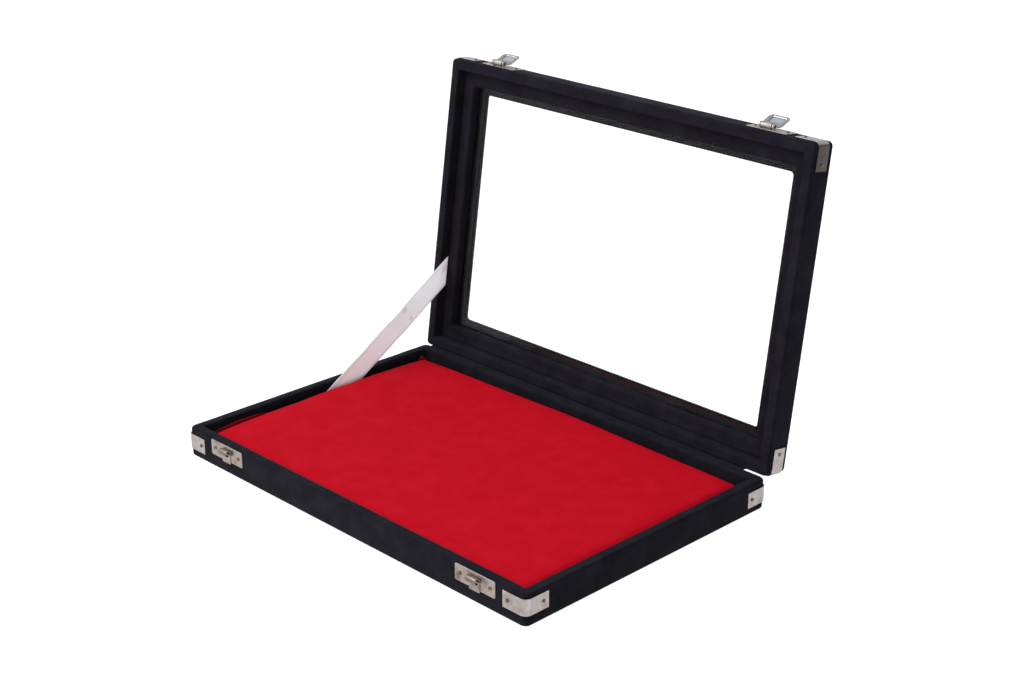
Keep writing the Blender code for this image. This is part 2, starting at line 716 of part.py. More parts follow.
def add_ribbon(satin):
    """A flat ribbon beside the left walls, from behind the pad's edge up to the lid's glass bead."""
    foot = Vector((HINGE.y - RIBBON_FOOT_FROM_HINGE, TRAY_FLOOR + RIBBON_FOOT_RISE))
    top = Vector(opened(-RIBBON_TOP_FROM_HINGE, BEAD_LOW - FIT_GAP - HINGE.z))
    along = (top - foot).normalized()
    level = Vector((RIBBON_WIDTH / 2 / along.y, 0))
    lid_slope = Vector(opened(-1, 0)) - Vector(opened(0, 0))
    rise = lid_slope * (RIBBON_WIDTH / 2 / abs(along.cross(lid_slope)))
    outline = [tuple(p) for p in (foot - level, foot + level, top - rise, top + rise)]
    low = -HALF_LENGTH + WALL + FIT_GAP
    add_object("ribbon_stay", prism(outline, low, low + RIBBON, side_frame()), satin)


# The whole case ------------------------------------------------------------------------------------

def build():
    clear_scene()
    wood = make_material("wood", (0.42, 0.27, 0.15), 0.7)
    hardboard = make_material("hardboard", (0.20, 0.12, 0.07), 0.8)
    velvet = make_material("black_velvet", (0.010, 0.011, 0.016), 0.95)
    paper = make_material("black_paper", (0.02, 0.02, 0.022), 0.8)
    card = make_material("grey_card", (0.32, 0.30, 0.27), 0.9)
    foam = make_material("foam", (0.75, 0.72, 0.62), 0.9)
    red = make_material("red_velvet", (0.50, 0.006, 0.015), 0.9)
    glass = make_material("glass", (0.9, 0.95, 0.93), 0.05)
    tin = make_material("tinned_sheet", (0.42, 0.38, 0.35), 0.35, 1.0)
    brass = make_material("brass", (0.42, 0.27, 0.10), 0.4, 1.0)
    satin = make_material("white_satin", (0.75, 0.72, 0.74), 0.4)

    lid_pivot = make_pivot("lid_pivot", HINGE, -OPEN_ANGLE)
    catch_nail_height = (CATCH_LOW + CATCH_TOP) / 2
    hasp_nail_height = LID_FLOOR + HASP_PLATE_RISE + HASP_PLATE_HEIGHT / 2
    base_straps = strap_nail_spots(0, BASE_STRAP_HEIGHTS)
    lid_straps = strap_nail_spots(LID_FLOOR, LID_STRAP_HEIGHTS)
    catch_nails = plate_nail_spots(catch_nail_height)
    hasp_nails = plate_nail_spots(hasp_nail_height)
    base_spots = [spot[1:] for spot in base_straps + catch_nails]
    lid_spots = [spot[1:] for spot in lid_straps + hasp_nails]
    base_holes = make_cutter("base_nail_holes", nail_holes(base_spots))
    lid_holes = make_cutter("lid_nail_holes", nail_holes(lid_spots), lid_pivot)

    add_base(wood, hardboard, velvet, paper, base_holes)
    add_lid(wood, hardboard, velvet, glass, lid_pivot, lid_holes)
    add_pad(card, foam, red)
    add_straps("base", 0, BASE_STRAP_HEIGHTS, tin, None, base_holes)
    add_straps("lid", LID_FLOOR, LID_STRAP_HEIGHTS, tin, lid_pivot, lid_holes)
    add_clasps(tin, lid_pivot, base_holes, lid_holes)
    for prefix, spots, pivot in (
        ("base_strap_nail", base_straps, None),
        ("catch_nail", catch_nails, None),
        ("lid_strap_nail", lid_straps, lid_pivot),
        ("hasp_nail", hasp_nails, lid_pivot),
    ):
        for name, place, outward in spots:
            add_object(f"{prefix}_{name}", nail(place, outward), brass, pivot)
    add_hinge_cloth(velvet)
    add_ribbon(satin)


build()
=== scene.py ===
import json
import math

import bmesh
import bpy
import numpy as np
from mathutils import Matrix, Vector


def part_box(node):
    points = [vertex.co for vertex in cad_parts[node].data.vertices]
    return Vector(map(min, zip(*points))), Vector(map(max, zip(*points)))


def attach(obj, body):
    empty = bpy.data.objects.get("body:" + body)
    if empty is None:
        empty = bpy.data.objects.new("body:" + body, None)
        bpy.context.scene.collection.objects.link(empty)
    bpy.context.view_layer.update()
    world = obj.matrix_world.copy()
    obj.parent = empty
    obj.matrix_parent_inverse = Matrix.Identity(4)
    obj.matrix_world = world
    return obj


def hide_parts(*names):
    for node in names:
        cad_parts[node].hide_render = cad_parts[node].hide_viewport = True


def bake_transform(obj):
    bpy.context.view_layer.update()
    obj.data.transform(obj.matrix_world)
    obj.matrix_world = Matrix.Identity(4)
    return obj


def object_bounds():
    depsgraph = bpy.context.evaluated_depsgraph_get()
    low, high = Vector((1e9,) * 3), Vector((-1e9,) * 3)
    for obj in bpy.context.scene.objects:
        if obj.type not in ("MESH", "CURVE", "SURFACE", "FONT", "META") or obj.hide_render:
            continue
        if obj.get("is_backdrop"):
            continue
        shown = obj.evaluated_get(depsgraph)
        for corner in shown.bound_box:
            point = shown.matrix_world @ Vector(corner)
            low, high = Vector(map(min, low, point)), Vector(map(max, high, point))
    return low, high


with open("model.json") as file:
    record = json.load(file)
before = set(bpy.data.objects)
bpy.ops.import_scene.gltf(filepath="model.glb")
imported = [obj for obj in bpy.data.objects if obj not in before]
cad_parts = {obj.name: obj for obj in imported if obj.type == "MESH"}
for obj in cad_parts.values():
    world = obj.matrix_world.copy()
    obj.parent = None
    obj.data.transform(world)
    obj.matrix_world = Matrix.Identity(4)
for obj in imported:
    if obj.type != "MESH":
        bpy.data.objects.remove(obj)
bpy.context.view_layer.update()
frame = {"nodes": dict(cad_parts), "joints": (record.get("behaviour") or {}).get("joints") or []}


# Camera, table and studio light ---------------------------------------------------------------------
# The case stands on a plain white table. A broad soft light hangs over the front left corner, a
# weaker one stands at the right, and the white room fills in the rest, brighter from the left and
# cooler from above. The table lies just below the case, clear of its underside.

CAMERA_PLACE = (0.7451, -0.6927, 0.4971)
CAMERA_AIM = (0.0151, 0.0229, 0.0908)
LENS = 63.64
ROOM_LEFT = 1.14
ROOM_RIGHT = 0.60
ROOM_LEVEL_COLOUR = (1.0, 0.985, 0.97, 1)
ROOM_TOP_COLOUR = (0.80, 0.92, 1.18, 1)
TABLE_RADIUS = 6.0
TABLE_SIDES = 96
TABLE_GLOW = 0.9
TABLE_GAP = 0.0003


def make_light(name, place, aim, width, power, colour):
    """A square soft light of the given width and power, turned towards its aim."""
    lamp = bpy.data.lights.new(name, "AREA")
    lamp.size = width
    lamp.energy = power
    lamp.color = colour
    holder = bpy.data.objects.new(name, lamp)
    holder.location = place
    holder.rotation_euler = (Vector(aim) - Vector(place)).to_track_quat("-Z", "Y").to_euler()
    bpy.context.scene.collection.objects.link(holder)


camera_data = bpy.data.cameras.new("camera")
camera_data.lens = LENS
camera = bpy.data.objects.new("camera", camera_data)
camera.location = CAMERA_PLACE
camera_direction = Vector(CAMERA_AIM) - Vector(CAMERA_PLACE)
camera.rotation_euler = camera_direction.to_track_quat("-Z", "Y").to_euler()
bpy.context.scene.collection.objects.link(camera)
bpy.context.scene.camera = camera
bpy.context.scene.view_settings.view_transform = "Standard"

make_light(
    "key_light", place=(-0.9, -1.1, 1.5), aim=(0, 0, 0), width=1.2, power=26, colour=(1.0, 0.98, 0.96)
)
make_light(
    "side_light", place=(1.6, -0.5, 0.5), aim=(0, 0, 0.10), width=0.9, power=12,
    colour=(0.95, 0.98, 1.0),
)

world = bpy.data.worlds.new("white_room")
world.use_nodes = True
room = world.node_tree
direction = room.nodes.new("ShaderNodeTexCoord").outputs["Generated"]
parts = room.nodes.new("ShaderNodeSeparateXYZ")
room.links.new(direction, parts.inputs[0])
walls = room.nodes.new("ShaderNodeMapRange")
room.links.new(parts.outputs["X"], walls.inputs["Value"])
for label, value in (
    ("From Min", -1), ("From Max", 1), ("To Min", ROOM_LEFT), ("To Max", ROOM_RIGHT)
):
    walls.inputs[label].default_value = value
room.links.new(walls.outputs[0], room.nodes["Background"].inputs["Strength"])
ceiling = room.nodes.new("ShaderNodeMix")
ceiling.data_type = "RGBA"
room.links.new(parts.outputs["Z"], ceiling.inputs[0])
ceiling.inputs[6].default_value = ROOM_LEVEL_COLOUR
ceiling.inputs[7].default_value = ROOM_TOP_COLOUR
room.links.new(ceiling.outputs[2], room.nodes["Background"].inputs["Color"])
bpy.context.scene.world = world

turns = np.linspace(0, 2 * np.pi, TABLE_SIDES, endpoint=False)
table_points = np.stack([np.cos(turns), np.sin(turns), 0 * turns], 1) * TABLE_RADIUS
table_points[:, 2] = -TABLE_GAP
table_mesh = bpy.data.meshes.new("table")
table_mesh.from_pydata(table_points.tolist(), [], [list(range(TABLE_SIDES))])
table = bpy.data.objects.new("table", table_mesh)
bpy.context.scene.collection.objects.link(table)
table_paint = bpy.data.materials.new("table_paint")
table_paint.use_nodes = True
table_shader = table_paint.node_tree.nodes["Principled BSDF"]
table_shader.inputs["Base Color"].default_value = (0.28, 0.28, 0.28, 1)
table_shader.inputs["Roughness"].default_value = 0.9
table_shader.inputs["Specular IOR Level"].default_value = 0.0
table_shader.inputs["Emission Color"].default_value = (1, 1, 1, 1)
table_shader.inputs["Emission Strength"].default_value = TABLE_GLOW
table_mesh.materials.append(table_paint)
table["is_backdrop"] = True


# Velvet on the base ---------------------------------------------------------------------------------
# One skin of short-pile black velvet is glued over the base's walls, from the tray's floor over the
# rim and down the outside, and is folded under. It puffs out a little where no metal presses on it.

nodes = frame["nodes"]
CASE_HALF_LENGTH, CASE_HALF_DEPTH, BASE_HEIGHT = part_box("base_velvet")[1]
BASE_CORNER_RADIUS = 0.004
INNER_CORNER_RADIUS = 0.0008
WINDOW_CORNER_RADIUS = 0.0026
WALL = 0.0070
VELVET = 0.0006
RIM_RADIUS = 0.0013
UNDER_RADIUS = 0.001
FOLD_UNDER = 0.016
BASE_SKIRT_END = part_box("base_panel")[1].z + 0.0003
CORNER_STEPS = 10
SIDE_STEP = 0.0028
PUFF = 0.00042
PUFF_FROM_EDGE = 0.0005
PUFF_FROM_RIM = 0.0008
PRESSED_REACH = 0.0024
RIM_CROWN = 0.00016
WALL_RIPPLE = (0.00007, 0.028)
RIM_RIPPLE = (0.00006, 0.02)


def smooth(value):
    """Smoothstep: 0 below 0, 1 above 1, and value squared times (3 - 2 value) between."""
    value = np.clip(value, 0, 1)
    return value * value * (3 - 2 * value)


def ripple(points, size, length, seed):
    """A smooth irregular value at each point: the mean of seven sine waves that run in random
    directions, about the given length apart, times size."""
    draw = np.random.default_rng(seed)
    waves = draw.normal(size=(7, 3))
    waves *= (2 * np.pi / length) * draw.uniform(0.6, 1.7, (7, 1))
    waves /= np.linalg.norm(waves, axis=1, keepdims=True) / (2 * np.pi / length)
    phases = draw.uniform(0, 2 * np.pi, 7)
    return size * np.sin(points @ waves.T + phases).mean(-1) * 2


def line(start, end, steps):
    """Evenly spaced points from start up to, but not including, end."""
    share = np.linspace(0, 1, steps, endpoint=False)[:, None]
    return (1 - share) * np.array(start) + share * np.array(end)


def bend(centre, radius, start, end, steps):
    """Points on a circle's arc, centre plus radius times (cos, sin), without the last one."""
    angle = np.radians(np.linspace(start, end, steps, endpoint=False))
    return np.array(centre) + radius * np.stack([np.cos(angle), np.sin(angle)], 1)


def path_normals(path):
    """Unit normals of a plane path: its central differences turned a quarter to the left."""
    along = np.gradient(path, axis=0)
    along /= np.linalg.norm(along, axis=1, keepdims=True)
    return np.stack([-along[:, 1], along[:, 0]], 1)


def skin_section(path, thickness):
    """The closed outline of a sheet: the path moved by half the thickness to one side, and back
    along the other."""
    across = path_normals(path) * thickness / 2
    return np.concatenate([path + across, (path - across)[::-1]])


def case_plan(insets, corner_radius):
    """Points round the case's plan for each inset, and the outward direction at each step. The plan
    is a rectangle with quarter-circle corners; moving in by the inset shortens its radius."""
    window = smooth((insets - WALL - 0.002) / 0.01)
    smallest = INNER_CORNER_RADIUS + (WINDOW_CORNER_RADIUS - INNER_CORNER_RADIUS) * window
    radius = np.maximum(corner_radius - insets, smallest)
    centre = np.stack([CASE_HALF_LENGTH - insets - radius, CASE_HALF_DEPTH - insets - radius], 1)
    arcs = []
    directions = []
    for quarter, signs in enumerate(((1, 1), (-1, 1), (-1, -1), (1, -1))):
        angle = np.linspace(quarter, quarter + 1, CORNER_STEPS + 1) * np.pi / 2
        outward = np.stack([np.cos(angle), np.sin(angle)], 1)
        arcs.append(centre * signs + radius[:, None] * outward[:, None, :])
        directions.append(outward)
    rows = []
    outwards = []
    for quarter in range(4):
        rows.append(arcs[quarter])
        outwards.append(directions[quarter])
        begin, finish = arcs[quarter][-1], arcs[(quarter + 1) % 4][0]
        steps = int(np.abs(finish - begin).max() / SIDE_STEP)
        share = np.arange(1, steps)[:, None, None] / steps
        rows.append(begin * (1 - share) + finish * share)
        outwards.append(np.repeat(directions[quarter][-1:], steps - 1, 0))
    return np.concatenate(rows), np.concatenate(outwards)


def ring_faces(rows, columns):
    """Quads between neighbours on a rows by columns grid that is closed both ways."""
    row, column = np.arange(rows)[:, None], np.arange(columns)[None, :]
    after, beside = (row + 1) % rows, (column + 1) % columns
    corners = (row, column), (row, beside), (after, beside), (after, column)
    return np.stack([r * columns + c for r, c in corners], -1).reshape(-1, 4).tolist()


def make_piece(name, points, faces, material, uv=None):
    """A smooth closed mesh object at the origin, with its faces turned outwards. Each shell is
    closed. uv gives each point its place on the flat cloth, in metres."""
    mesh = bpy.data.meshes.new(name)
    mesh.from_pydata(points.reshape(-1, 3).tolist(), [], faces)
    if uv is not None:
        corner = np.empty(len(mesh.loops), np.int32)
        mesh.loops.foreach_get("vertex_index", corner)
        layer = mesh.uv_layers.new(name="flat_cloth")
        layer.data.foreach_set("uv", np.asarray(uv, np.float32).reshape(-1, 2)[corner].ravel())
    shell = bmesh.new()
    shell.from_mesh(mesh)
    bmesh.ops.recalc_face_normals(shell, faces=shell.faces)
    shell.to_mesh(mesh)
    shell.free()
    mesh.shade_smooth()
    mesh.materials.append(material)
    piece = bpy.data.objects.new(name, mesh)
    bpy.context.scene.collection.objects.link(piece)
    return piece


def pressed(points, boxes):
    """1 where a box of metal lies on the cloth, falling smoothly to 0 at PRESSED_REACH from it."""
    most = np.zeros(points.shape[:-1])
    for low, high in boxes:
        away = np.maximum(np.maximum(low - points, points - high), 0)
        near = 1 - np.linalg.norm(away, axis=-1) / PRESSED_REACH
        most = np.maximum(most, smooth(near))
    return most


def velvet_ring(section, corner_radius, walls, rim, rim_side, boxes, seed):
    """A velvet skin carried round the case. Its outer wall is pushed out by a half sine wave
    between the walls' two heights, less where metal presses, and its rim is crowned."""
    rows, outward = case_plan(section[:, 0], corner_radius)
    heights = np.broadcast_to(section[:, 1], rows.shape[:2])
    points = np.concatenate([rows, heights[..., None]], -1)
    on_wall = section[:, 0] < RIM_RADIUS
    rise = np.clip((section[:, 1] - walls[0]) / (walls[1] - walls[0]), 0, 1)
    puff = on_wall * np.sqrt(np.sin(np.pi * rise))
    push = PUFF * puff * (1 - pressed(points, boxes))
    push += puff * ripple(points, *WALL_RIPPLE, seed)
    points[..., :2] += outward[:, None, :] * push[..., None]
    depth_in_rim = np.abs(section[:, 1] - rim) / RIM_RADIUS
    on_rim = (section[:, 0] < WALL) * smooth(1 - depth_in_rim)
    arch = 1 - (2 * section[:, 0] / WALL - 1) ** 2
    crown = RIM_CROWN * arch + ripple(points, *RIM_RIPPLE, seed + 1)
    points[..., 2] += rim_side * on_rim * crown
    return points


def new_group(name, inputs, outputs):
    """A shader node group with its sockets, and its input and output nodes."""
    group = bpy.data.node_groups.new(name, "ShaderNodeTree")
    for label, kind, value in inputs:
        socket = group.interface.new_socket(label, in_out="INPUT", socket_type=kind)
        socket.default_value = value
    for label, kind in outputs:
        group.interface.new_socket(label, in_out="OUTPUT", socket_type=kind)
    entry = group.nodes.new("NodeGroupInput")
    result = group.nodes.new("NodeGroupOutput")
    return group, entry.outputs, result.inputs


def add_node(tree, kind, settings=None, **sockets):
    """A node with its properties set, and each named input given a value or joined to a socket."""
    node = tree.nodes.new(kind)
    for label, value in (settings or {}).items():
        setattr(node, label, value)
    for label, value in sockets.items():
        key = int(label[1:]) if label[0] == "_" else label.replace("_", " ")
        if isinstance(value, bpy.types.NodeSocket):
            tree.links.new(value, node.inputs[key])
        else:
            node.inputs[key].default_value = value
    return node


def noise(tree, place, scale, detail=2.0, roughness=0.5):
    """Noise from 0 to 1 at that many waves to the metre."""
    made = add_node(tree, "ShaderNodeTexNoise", Vector=place, Scale=scale, Detail=detail)
    made.inputs["Roughness"].default_value = roughness
    return made.outputs["Fac"]


def spread(tree, value, low, high, to_low=0.0, to_high=1.0):
    """value mapped from low..high to to_low..to_high along a smooth step."""
    settings = {"interpolation_type": "SMOOTHSTEP"}
    made = add_node(tree, "ShaderNodeMapRange", settings, _0=value, _1=low, _2=high)
    made.inputs[3].default_value = to_low
    made.inputs[4].default_value = to_high
    return made.outputs[0]


def maths(tree, operation, first, second=0.0):
    """One sum, product or the like of two values, or of one where the operation takes one."""
    made = add_node(tree, "ShaderNodeMath", {"operation": operation}, _0=first, _1=second)
    return made.outputs[0]


def blend_colour(tree, share, first, second):
    """first where share is 0, second where it is 1."""
    made = add_node(tree, "ShaderNodeMix", {"data_type": "RGBA"}, _0=share, _6=first, _7=second)
    return made.outputs[2]


def make_pile_group():
    """Short cut pile: tufts 0.3 mm apart, patches where the pile leans another way, worn spots a
    few millimetres wide, and a few specks of lint. The pile lies along X. Faces turned towards +X
    are painted darker: painted shade, which stands in both for the pile seen the wrong way on that
    side and for the weaker light there."""
    colour, value, vector = "NodeSocketColor", "NodeSocketFloat", "NodeSocketVector"
    group, given, result = new_group(
        "short_pile",
        [
            ("Place", vector, (0, 0, 0)),
            ("Deep", colour, (0.01, 0.01, 0.012, 1)),
            ("Raised", colour, (0.02, 0.02, 0.03, 1)),
            ("Lint", colour, (0.3, 0.3, 0.3, 1)),
            ("Lint Amount", value, 0.5),
            ("Facing", vector, (0, 0, 1)),
            ("Nap", value, 0.4),
        ],
        [("Color", colour), ("Height", value), ("Roughness", value)],
    )
    place = given["Place"]
    tufts = noise(group, place, 2600, 2.0, 0.6)
    leaning = noise(group, place, 70, 3.0, 0.55)
    paler_patch = noise(group, place, 260, 3.0, 0.6)
    lie = spread(group, leaning, 0.35, 0.7, 0, 0.55)
    lie = maths(group, "ADD", lie, spread(group, paler_patch, 0.45, 0.75, 0, 0.3))
    lie = maths(group, "ADD", lie, spread(group, tufts, 0.35, 0.75, 0, 0.35))
    cloth = blend_colour(group, lie, given["Deep"], given["Raised"])
    # Painted shade: faces turned towards +X are blended towards black, for the pile seen the wrong way
    # there and for the weaker light on that side.
    facing = add_node(group, "ShaderNodeSeparateXYZ", Vector=given["Facing"]).outputs["X"]
    nap_and_painted_shade = maths(group, "MULTIPLY", spread(group, facing, 0.1, 0.9), given["Nap"])
    cloth = blend_colour(group, nap_and_painted_shade, cloth, (0, 0, 0, 1))
    settings = {"feature": "F1", "distance": "EUCLIDEAN"}
    specks = add_node(group, "ShaderNodeTexVoronoi", settings, Vector=place, Scale=120.0)
    specks.inputs["Randomness"].default_value = 1.0
    chosen = add_node(group, "ShaderNodeSeparateColor", _0=specks.outputs["Color"])
    rare = spread(group, chosen.outputs[0], 0.955, 0.96)
    small = spread(group, specks.outputs["Distance"], 0.03, 0.05, 1.0, 0.0)
    lint = maths(group, "MULTIPLY", maths(group, "MULTIPLY", rare, small), given["Lint Amount"])
    group.links.new(blend_colour(group, lint, cloth, given["Lint"]), result["Color"])
    height = maths(group, "ADD", tufts, maths(group, "MULTIPLY", paler_patch, 1.2))
    group.links.new(maths(group, "ADD", height, lint), result["Height"])
    group.links.new(spread(group, leaning, 0.3, 0.75, 0.95, 0.8), result["Roughness"])
    return group


def new_material(name):
    """A material with its node tree and its one shader."""
    made = bpy.data.materials.new(name)
    made.use_nodes = True
    return made, made.node_tree, made.node_tree.nodes["Principled BSDF"]


def object_place(tree):
    """Where a point lies in metres, the same at every pose."""
    return tree.nodes.new("ShaderNodeTexCoord").outputs["Object"]


def add_relief(tree, shader, height, strength, depth):
    """Bumps of the given depth on the shader's normal."""
    relief = add_node(tree, "ShaderNodeBump", Strength=strength, Distance=depth, Height=height)
    tree.links.new(relief.outputs["Normal"], shader.inputs["Normal"])


def pile_material(name, deep, raised, lint, lint_amount, nap_and_shade, sheen, sheen_tint, depth):
    """A velvet: the pile group's colour and relief on a shader with its own constant sheen."""
    made, tree, shader = new_material(name)
    coordinates = tree.nodes.new("ShaderNodeTexCoord")
    pile = add_node(tree, "ShaderNodeGroup", {"node_tree": pile_group})
    tree.links.new(coordinates.outputs["Object"], pile.inputs["Place"])
    tree.links.new(coordinates.outputs["Normal"], pile.inputs["Facing"])
    pile.inputs["Nap"].default_value = nap_and_shade
    for label, value in (("Deep", deep), ("Raised", raised), ("Lint", lint)):
        pile.inputs[label].default_value = (*value, 1)
    pile.inputs["Lint Amount"].default_value = lint_amount
    add_relief(tree, shader, pile.outputs["Height"], 0.6, depth)
    tree.links.new(pile.outputs["Color"], shader.inputs["Base Color"])
    tree.links.new(pile.outputs["Roughness"], shader.inputs["Roughness"])
    shader.inputs["Specular IOR Level"].default_value = 0.04
    shader.inputs["Sheen Weight"].default_value = sheen
    shader.inputs["Sheen Roughness"].default_value = 0.45
    shader.inputs["Sheen Tint"].default_value = (*sheen_tint, 1)
    return made


pile_group = make_pile_group()
black_velvet = pile_material(
    "black_velvet",
    deep=(0.0072, 0.0064, 0.0086),
    raised=(0.0132, 0.0120, 0.0158),
    lint=(0.35, 0.35, 0.36),
    lint_amount=0.5,
    nap_and_shade=0.5,
    sheen=0.03,
    sheen_tint=(0.55, 0.62, 0.85),
    depth=0.00022,
)

half = VELVET / 2
inner_face = WALL - half
rim_top = BASE_HEIGHT - half
base_path = np.concatenate([
    line((FOLD_UNDER, half), (UNDER_RADIUS, half), 5),
    bend((UNDER_RADIUS, UNDER_RADIUS), UNDER_RADIUS - half, 270, 180, 5),
    line((half, UNDER_RADIUS), (half, BASE_HEIGHT - RIM_RADIUS), 14),
    bend((RIM_RADIUS, BASE_HEIGHT - RIM_RADIUS), RIM_RADIUS - half, 180, 90, 7),
    line((RIM_RADIUS, rim_top), (WALL - RIM_RADIUS, rim_top), 6),
    bend((WALL - RIM_RADIUS, BASE_HEIGHT - RIM_RADIUS), RIM_RADIUS - half, 90, 0, 7),
    line((inner_face, BASE_HEIGHT - RIM_RADIUS), (inner_face, BASE_SKIRT_END), 6),
    [(inner_face, BASE_SKIRT_END)],
])
base_metal = [
    tuple(np.array(corner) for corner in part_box(node))
    for node in nodes
    if node.startswith(("base_strap", "catch_plate")) and "nail" not in node
]
base_skin = velvet_ring(
    skin_section(base_path, VELVET), BASE_CORNER_RADIUS,
    walls=(PUFF_FROM_EDGE, BASE_HEIGHT - PUFF_FROM_RIM), rim=BASE_HEIGHT, rim_side=1,
    boxes=base_metal, seed=11,
)
base_velvet = make_piece(
    "base_velvet_skin", base_skin, ring_faces(*base_skin.shape[:2]), black_velvet
)
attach(base_velvet, "base")
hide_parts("base_velvet")


# Velvet on the lid ----------------------------------------------------------------------------------
# The lid is covered like the base: from behind the glass bead over the rim, up the outside, across
# the top and round the edge of the window. Everything on the lid is worked out with the case shut
# and then turned open about the cloth hinge.

joints = {joint["name"]: joint for joint in frame["joints"]}
HINGE_Y, HINGE_Z = joints["lid_hinge"]["pos_m"][1:]
OPEN_TURN = math.radians(joints["lid_hinge"]["range_deg"][1])


def turned_back(points, axis_y, axis_z, angle):
    """Points turned about a line along X by minus the angle: y' = y cos + z sin, z' = z cos - y sin,
    both measured from the line."""
    points = np.array(points, float)
    y, z = points[..., 1] - axis_y, points[..., 2] - axis_z
    cosine, sine = math.cos(angle), math.sin(angle)
    points[..., 1] = axis_y + y * cosine + z * sine
    points[..., 2] = axis_z + z * cosine - y * sine
    return points


def opened(points):
    """Places on the shut lid, with the lid open."""
    return turned_back(points, HINGE_Y, HINGE_Z, OPEN_TURN)


def shut(points):
    """Places on the open lid, with the lid shut."""
    return turned_back(points, HINGE_Y, HINGE_Z, -OPEN_TURN)


def mesh_points(mesh):
    """A mesh's points, as rows of three."""
    flat = np.empty(len(mesh.vertices) * 3, np.float32)
    mesh.vertices.foreach_get("co", flat)
    return flat.reshape(-1, 3).astype(float)


def shut_box(node):
    """Lowest and highest corner of a node on the lid when the lid is shut."""
    points = shut(mesh_points(nodes[node].data))
    return points.min(0), points.max(0)


LID_FLOOR = shut_box("lid_velvet")[0][2]
CASE_TOP = shut_box("lid_velvet")[1][2]
LIP_LOW = shut_box("lid_window_board")[0][2]
BEAD_LOW = shut_box("glass_bead")[0][2]
BEAD_TOP = shut_box("glass_bead")[1][2]
WINDOW_BORDER = 0.022
WINDOW_EDGE_RADIUS = 0.0012
LID_CORNER_RADIUS = 0.003

lid_rim = LID_FLOOR + half
lid_top = CASE_TOP - half
window_face = WINDOW_BORDER - half
edge_centre = (WINDOW_BORDER - WINDOW_EDGE_RADIUS, CASE_TOP - WINDOW_EDGE_RADIUS)
lid_path = np.concatenate([
    line((window_face, LIP_LOW), (window_face, CASE_TOP - WINDOW_EDGE_RADIUS), 4),
    bend(edge_centre, WINDOW_EDGE_RADIUS - half, 0, 90, 5),
    line((WINDOW_BORDER - WINDOW_EDGE_RADIUS, lid_top), (RIM_RADIUS, lid_top), 9),
    bend((RIM_RADIUS, CASE_TOP - RIM_RADIUS), RIM_RADIUS - half, 90, 180, 7),
    line((half, CASE_TOP - RIM_RADIUS), (half, LID_FLOOR + RIM_RADIUS), 14),
    bend((RIM_RADIUS, LID_FLOOR + RIM_RADIUS), RIM_RADIUS - half, 180, 270, 7),
    line((RIM_RADIUS, lid_rim), (WALL - RIM_RADIUS, lid_rim), 6),
    bend((WALL - RIM_RADIUS, LID_FLOOR + RIM_RADIUS), RIM_RADIUS - half, 270, 360, 7),
    line((inner_face, LID_FLOOR + RIM_RADIUS), (inner_face, BEAD_TOP), 6),
    [(inner_face, BEAD_TOP)],
])
lid_metal = [
    shut_box(node)
    for node in nodes
    if node.startswith(("lid_strap", "hasp_plate")) and "nail" not in node
]
lid_skin = velvet_ring(
    skin_section(lid_path, VELVET), LID_CORNER_RADIUS,
    walls=(LID_FLOOR + PUFF_FROM_RIM, CASE_TOP - PUFF_FROM_EDGE), rim=LID_FLOOR, rim_side=-1,
    boxes=lid_metal, seed=23,
)
lid_velvet = make_piece(
    "lid_velvet_skin", opened(lid_skin), ring_faces(*lid_skin.shape[:2]), black_velvet
)
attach(lid_velvet, "lid")
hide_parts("lid_velvet")


# Bead round the glass -------------------------------------------------------------------------------
# A soft velvet-covered strip is pushed in all round behind the rim and holds the pane against the
# window's board.

BEAD_BORDER = 0.017
BEAD_EDGE_RADIUS = 0.0026
BEAD_WALL_GAP = 0.0003
BEAD_BACK_RADIUS = 0.0008
BEAD_SWELL = 0.00035
BEAD_SWELL_WIDTH = 0.0095
BEAD_FRONT_DEPTH = 0.003
BEAD_FRONT_FADE = 0.002

bead_back = WALL + BEAD_WALL_GAP
bead_edge = (BEAD_BORDER - BEAD_EDGE_RADIUS, BEAD_LOW + BEAD_EDGE_RADIUS)
bead_section = np.concatenate([
    line((bead_back, BEAD_TOP), (bead_back, BEAD_LOW + BEAD_BACK_RADIUS), 4),
    bend((bead_back + BEAD_BACK_RADIUS, BEAD_LOW + BEAD_BACK_RADIUS), BEAD_BACK_RADIUS, 180, 270, 4),
    line((bead_back + BEAD_BACK_RADIUS, BEAD_LOW), (bead_edge[0], BEAD_LOW), 7),
    bend(bead_edge, BEAD_EDGE_RADIUS, 270, 360, 8),
    line((BEAD_BORDER, bead_edge[1]), (BEAD_BORDER, BEAD_TOP), 4),
    line((BEAD_BORDER, BEAD_TOP), (bead_back, BEAD_TOP), 4),
])
bead_rows = case_plan(bead_section[:, 0], LID_CORNER_RADIUS)[0]
bead_heights = np.broadcast_to(bead_section[:, 1], bead_rows.shape[:2])[..., None]
bead_points = np.concatenate([bead_rows, bead_heights], -1)
over_front = np.sin(np.pi * np.clip((bead_section[:, 0] - bead_back) / BEAD_SWELL_WIDTH, 0, 1))
on_front = smooth((BEAD_LOW + BEAD_FRONT_DEPTH - bead_section[:, 1]) / BEAD_FRONT_FADE)
bead_points[..., 2] += on_front * over_front * (BEAD_SWELL + ripple(bead_points, 0.00018, 0.035, 5))
bead = make_piece(
    "glass_bead_strip", opened(bead_points), ring_faces(*bead_points.shape[:2]), black_velvet
)
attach(bead, "lid")
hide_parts("glass_bead")


# Glass pane -----------------------------------------------------------------------------------------
# Plain float glass, lightly smudged in patches. It lies between the board and the bead. Its index is
# lower than real glass has, so that it mirrors the white room as faintly as a pane in a dim one.

GLASS_IOR = 1.16

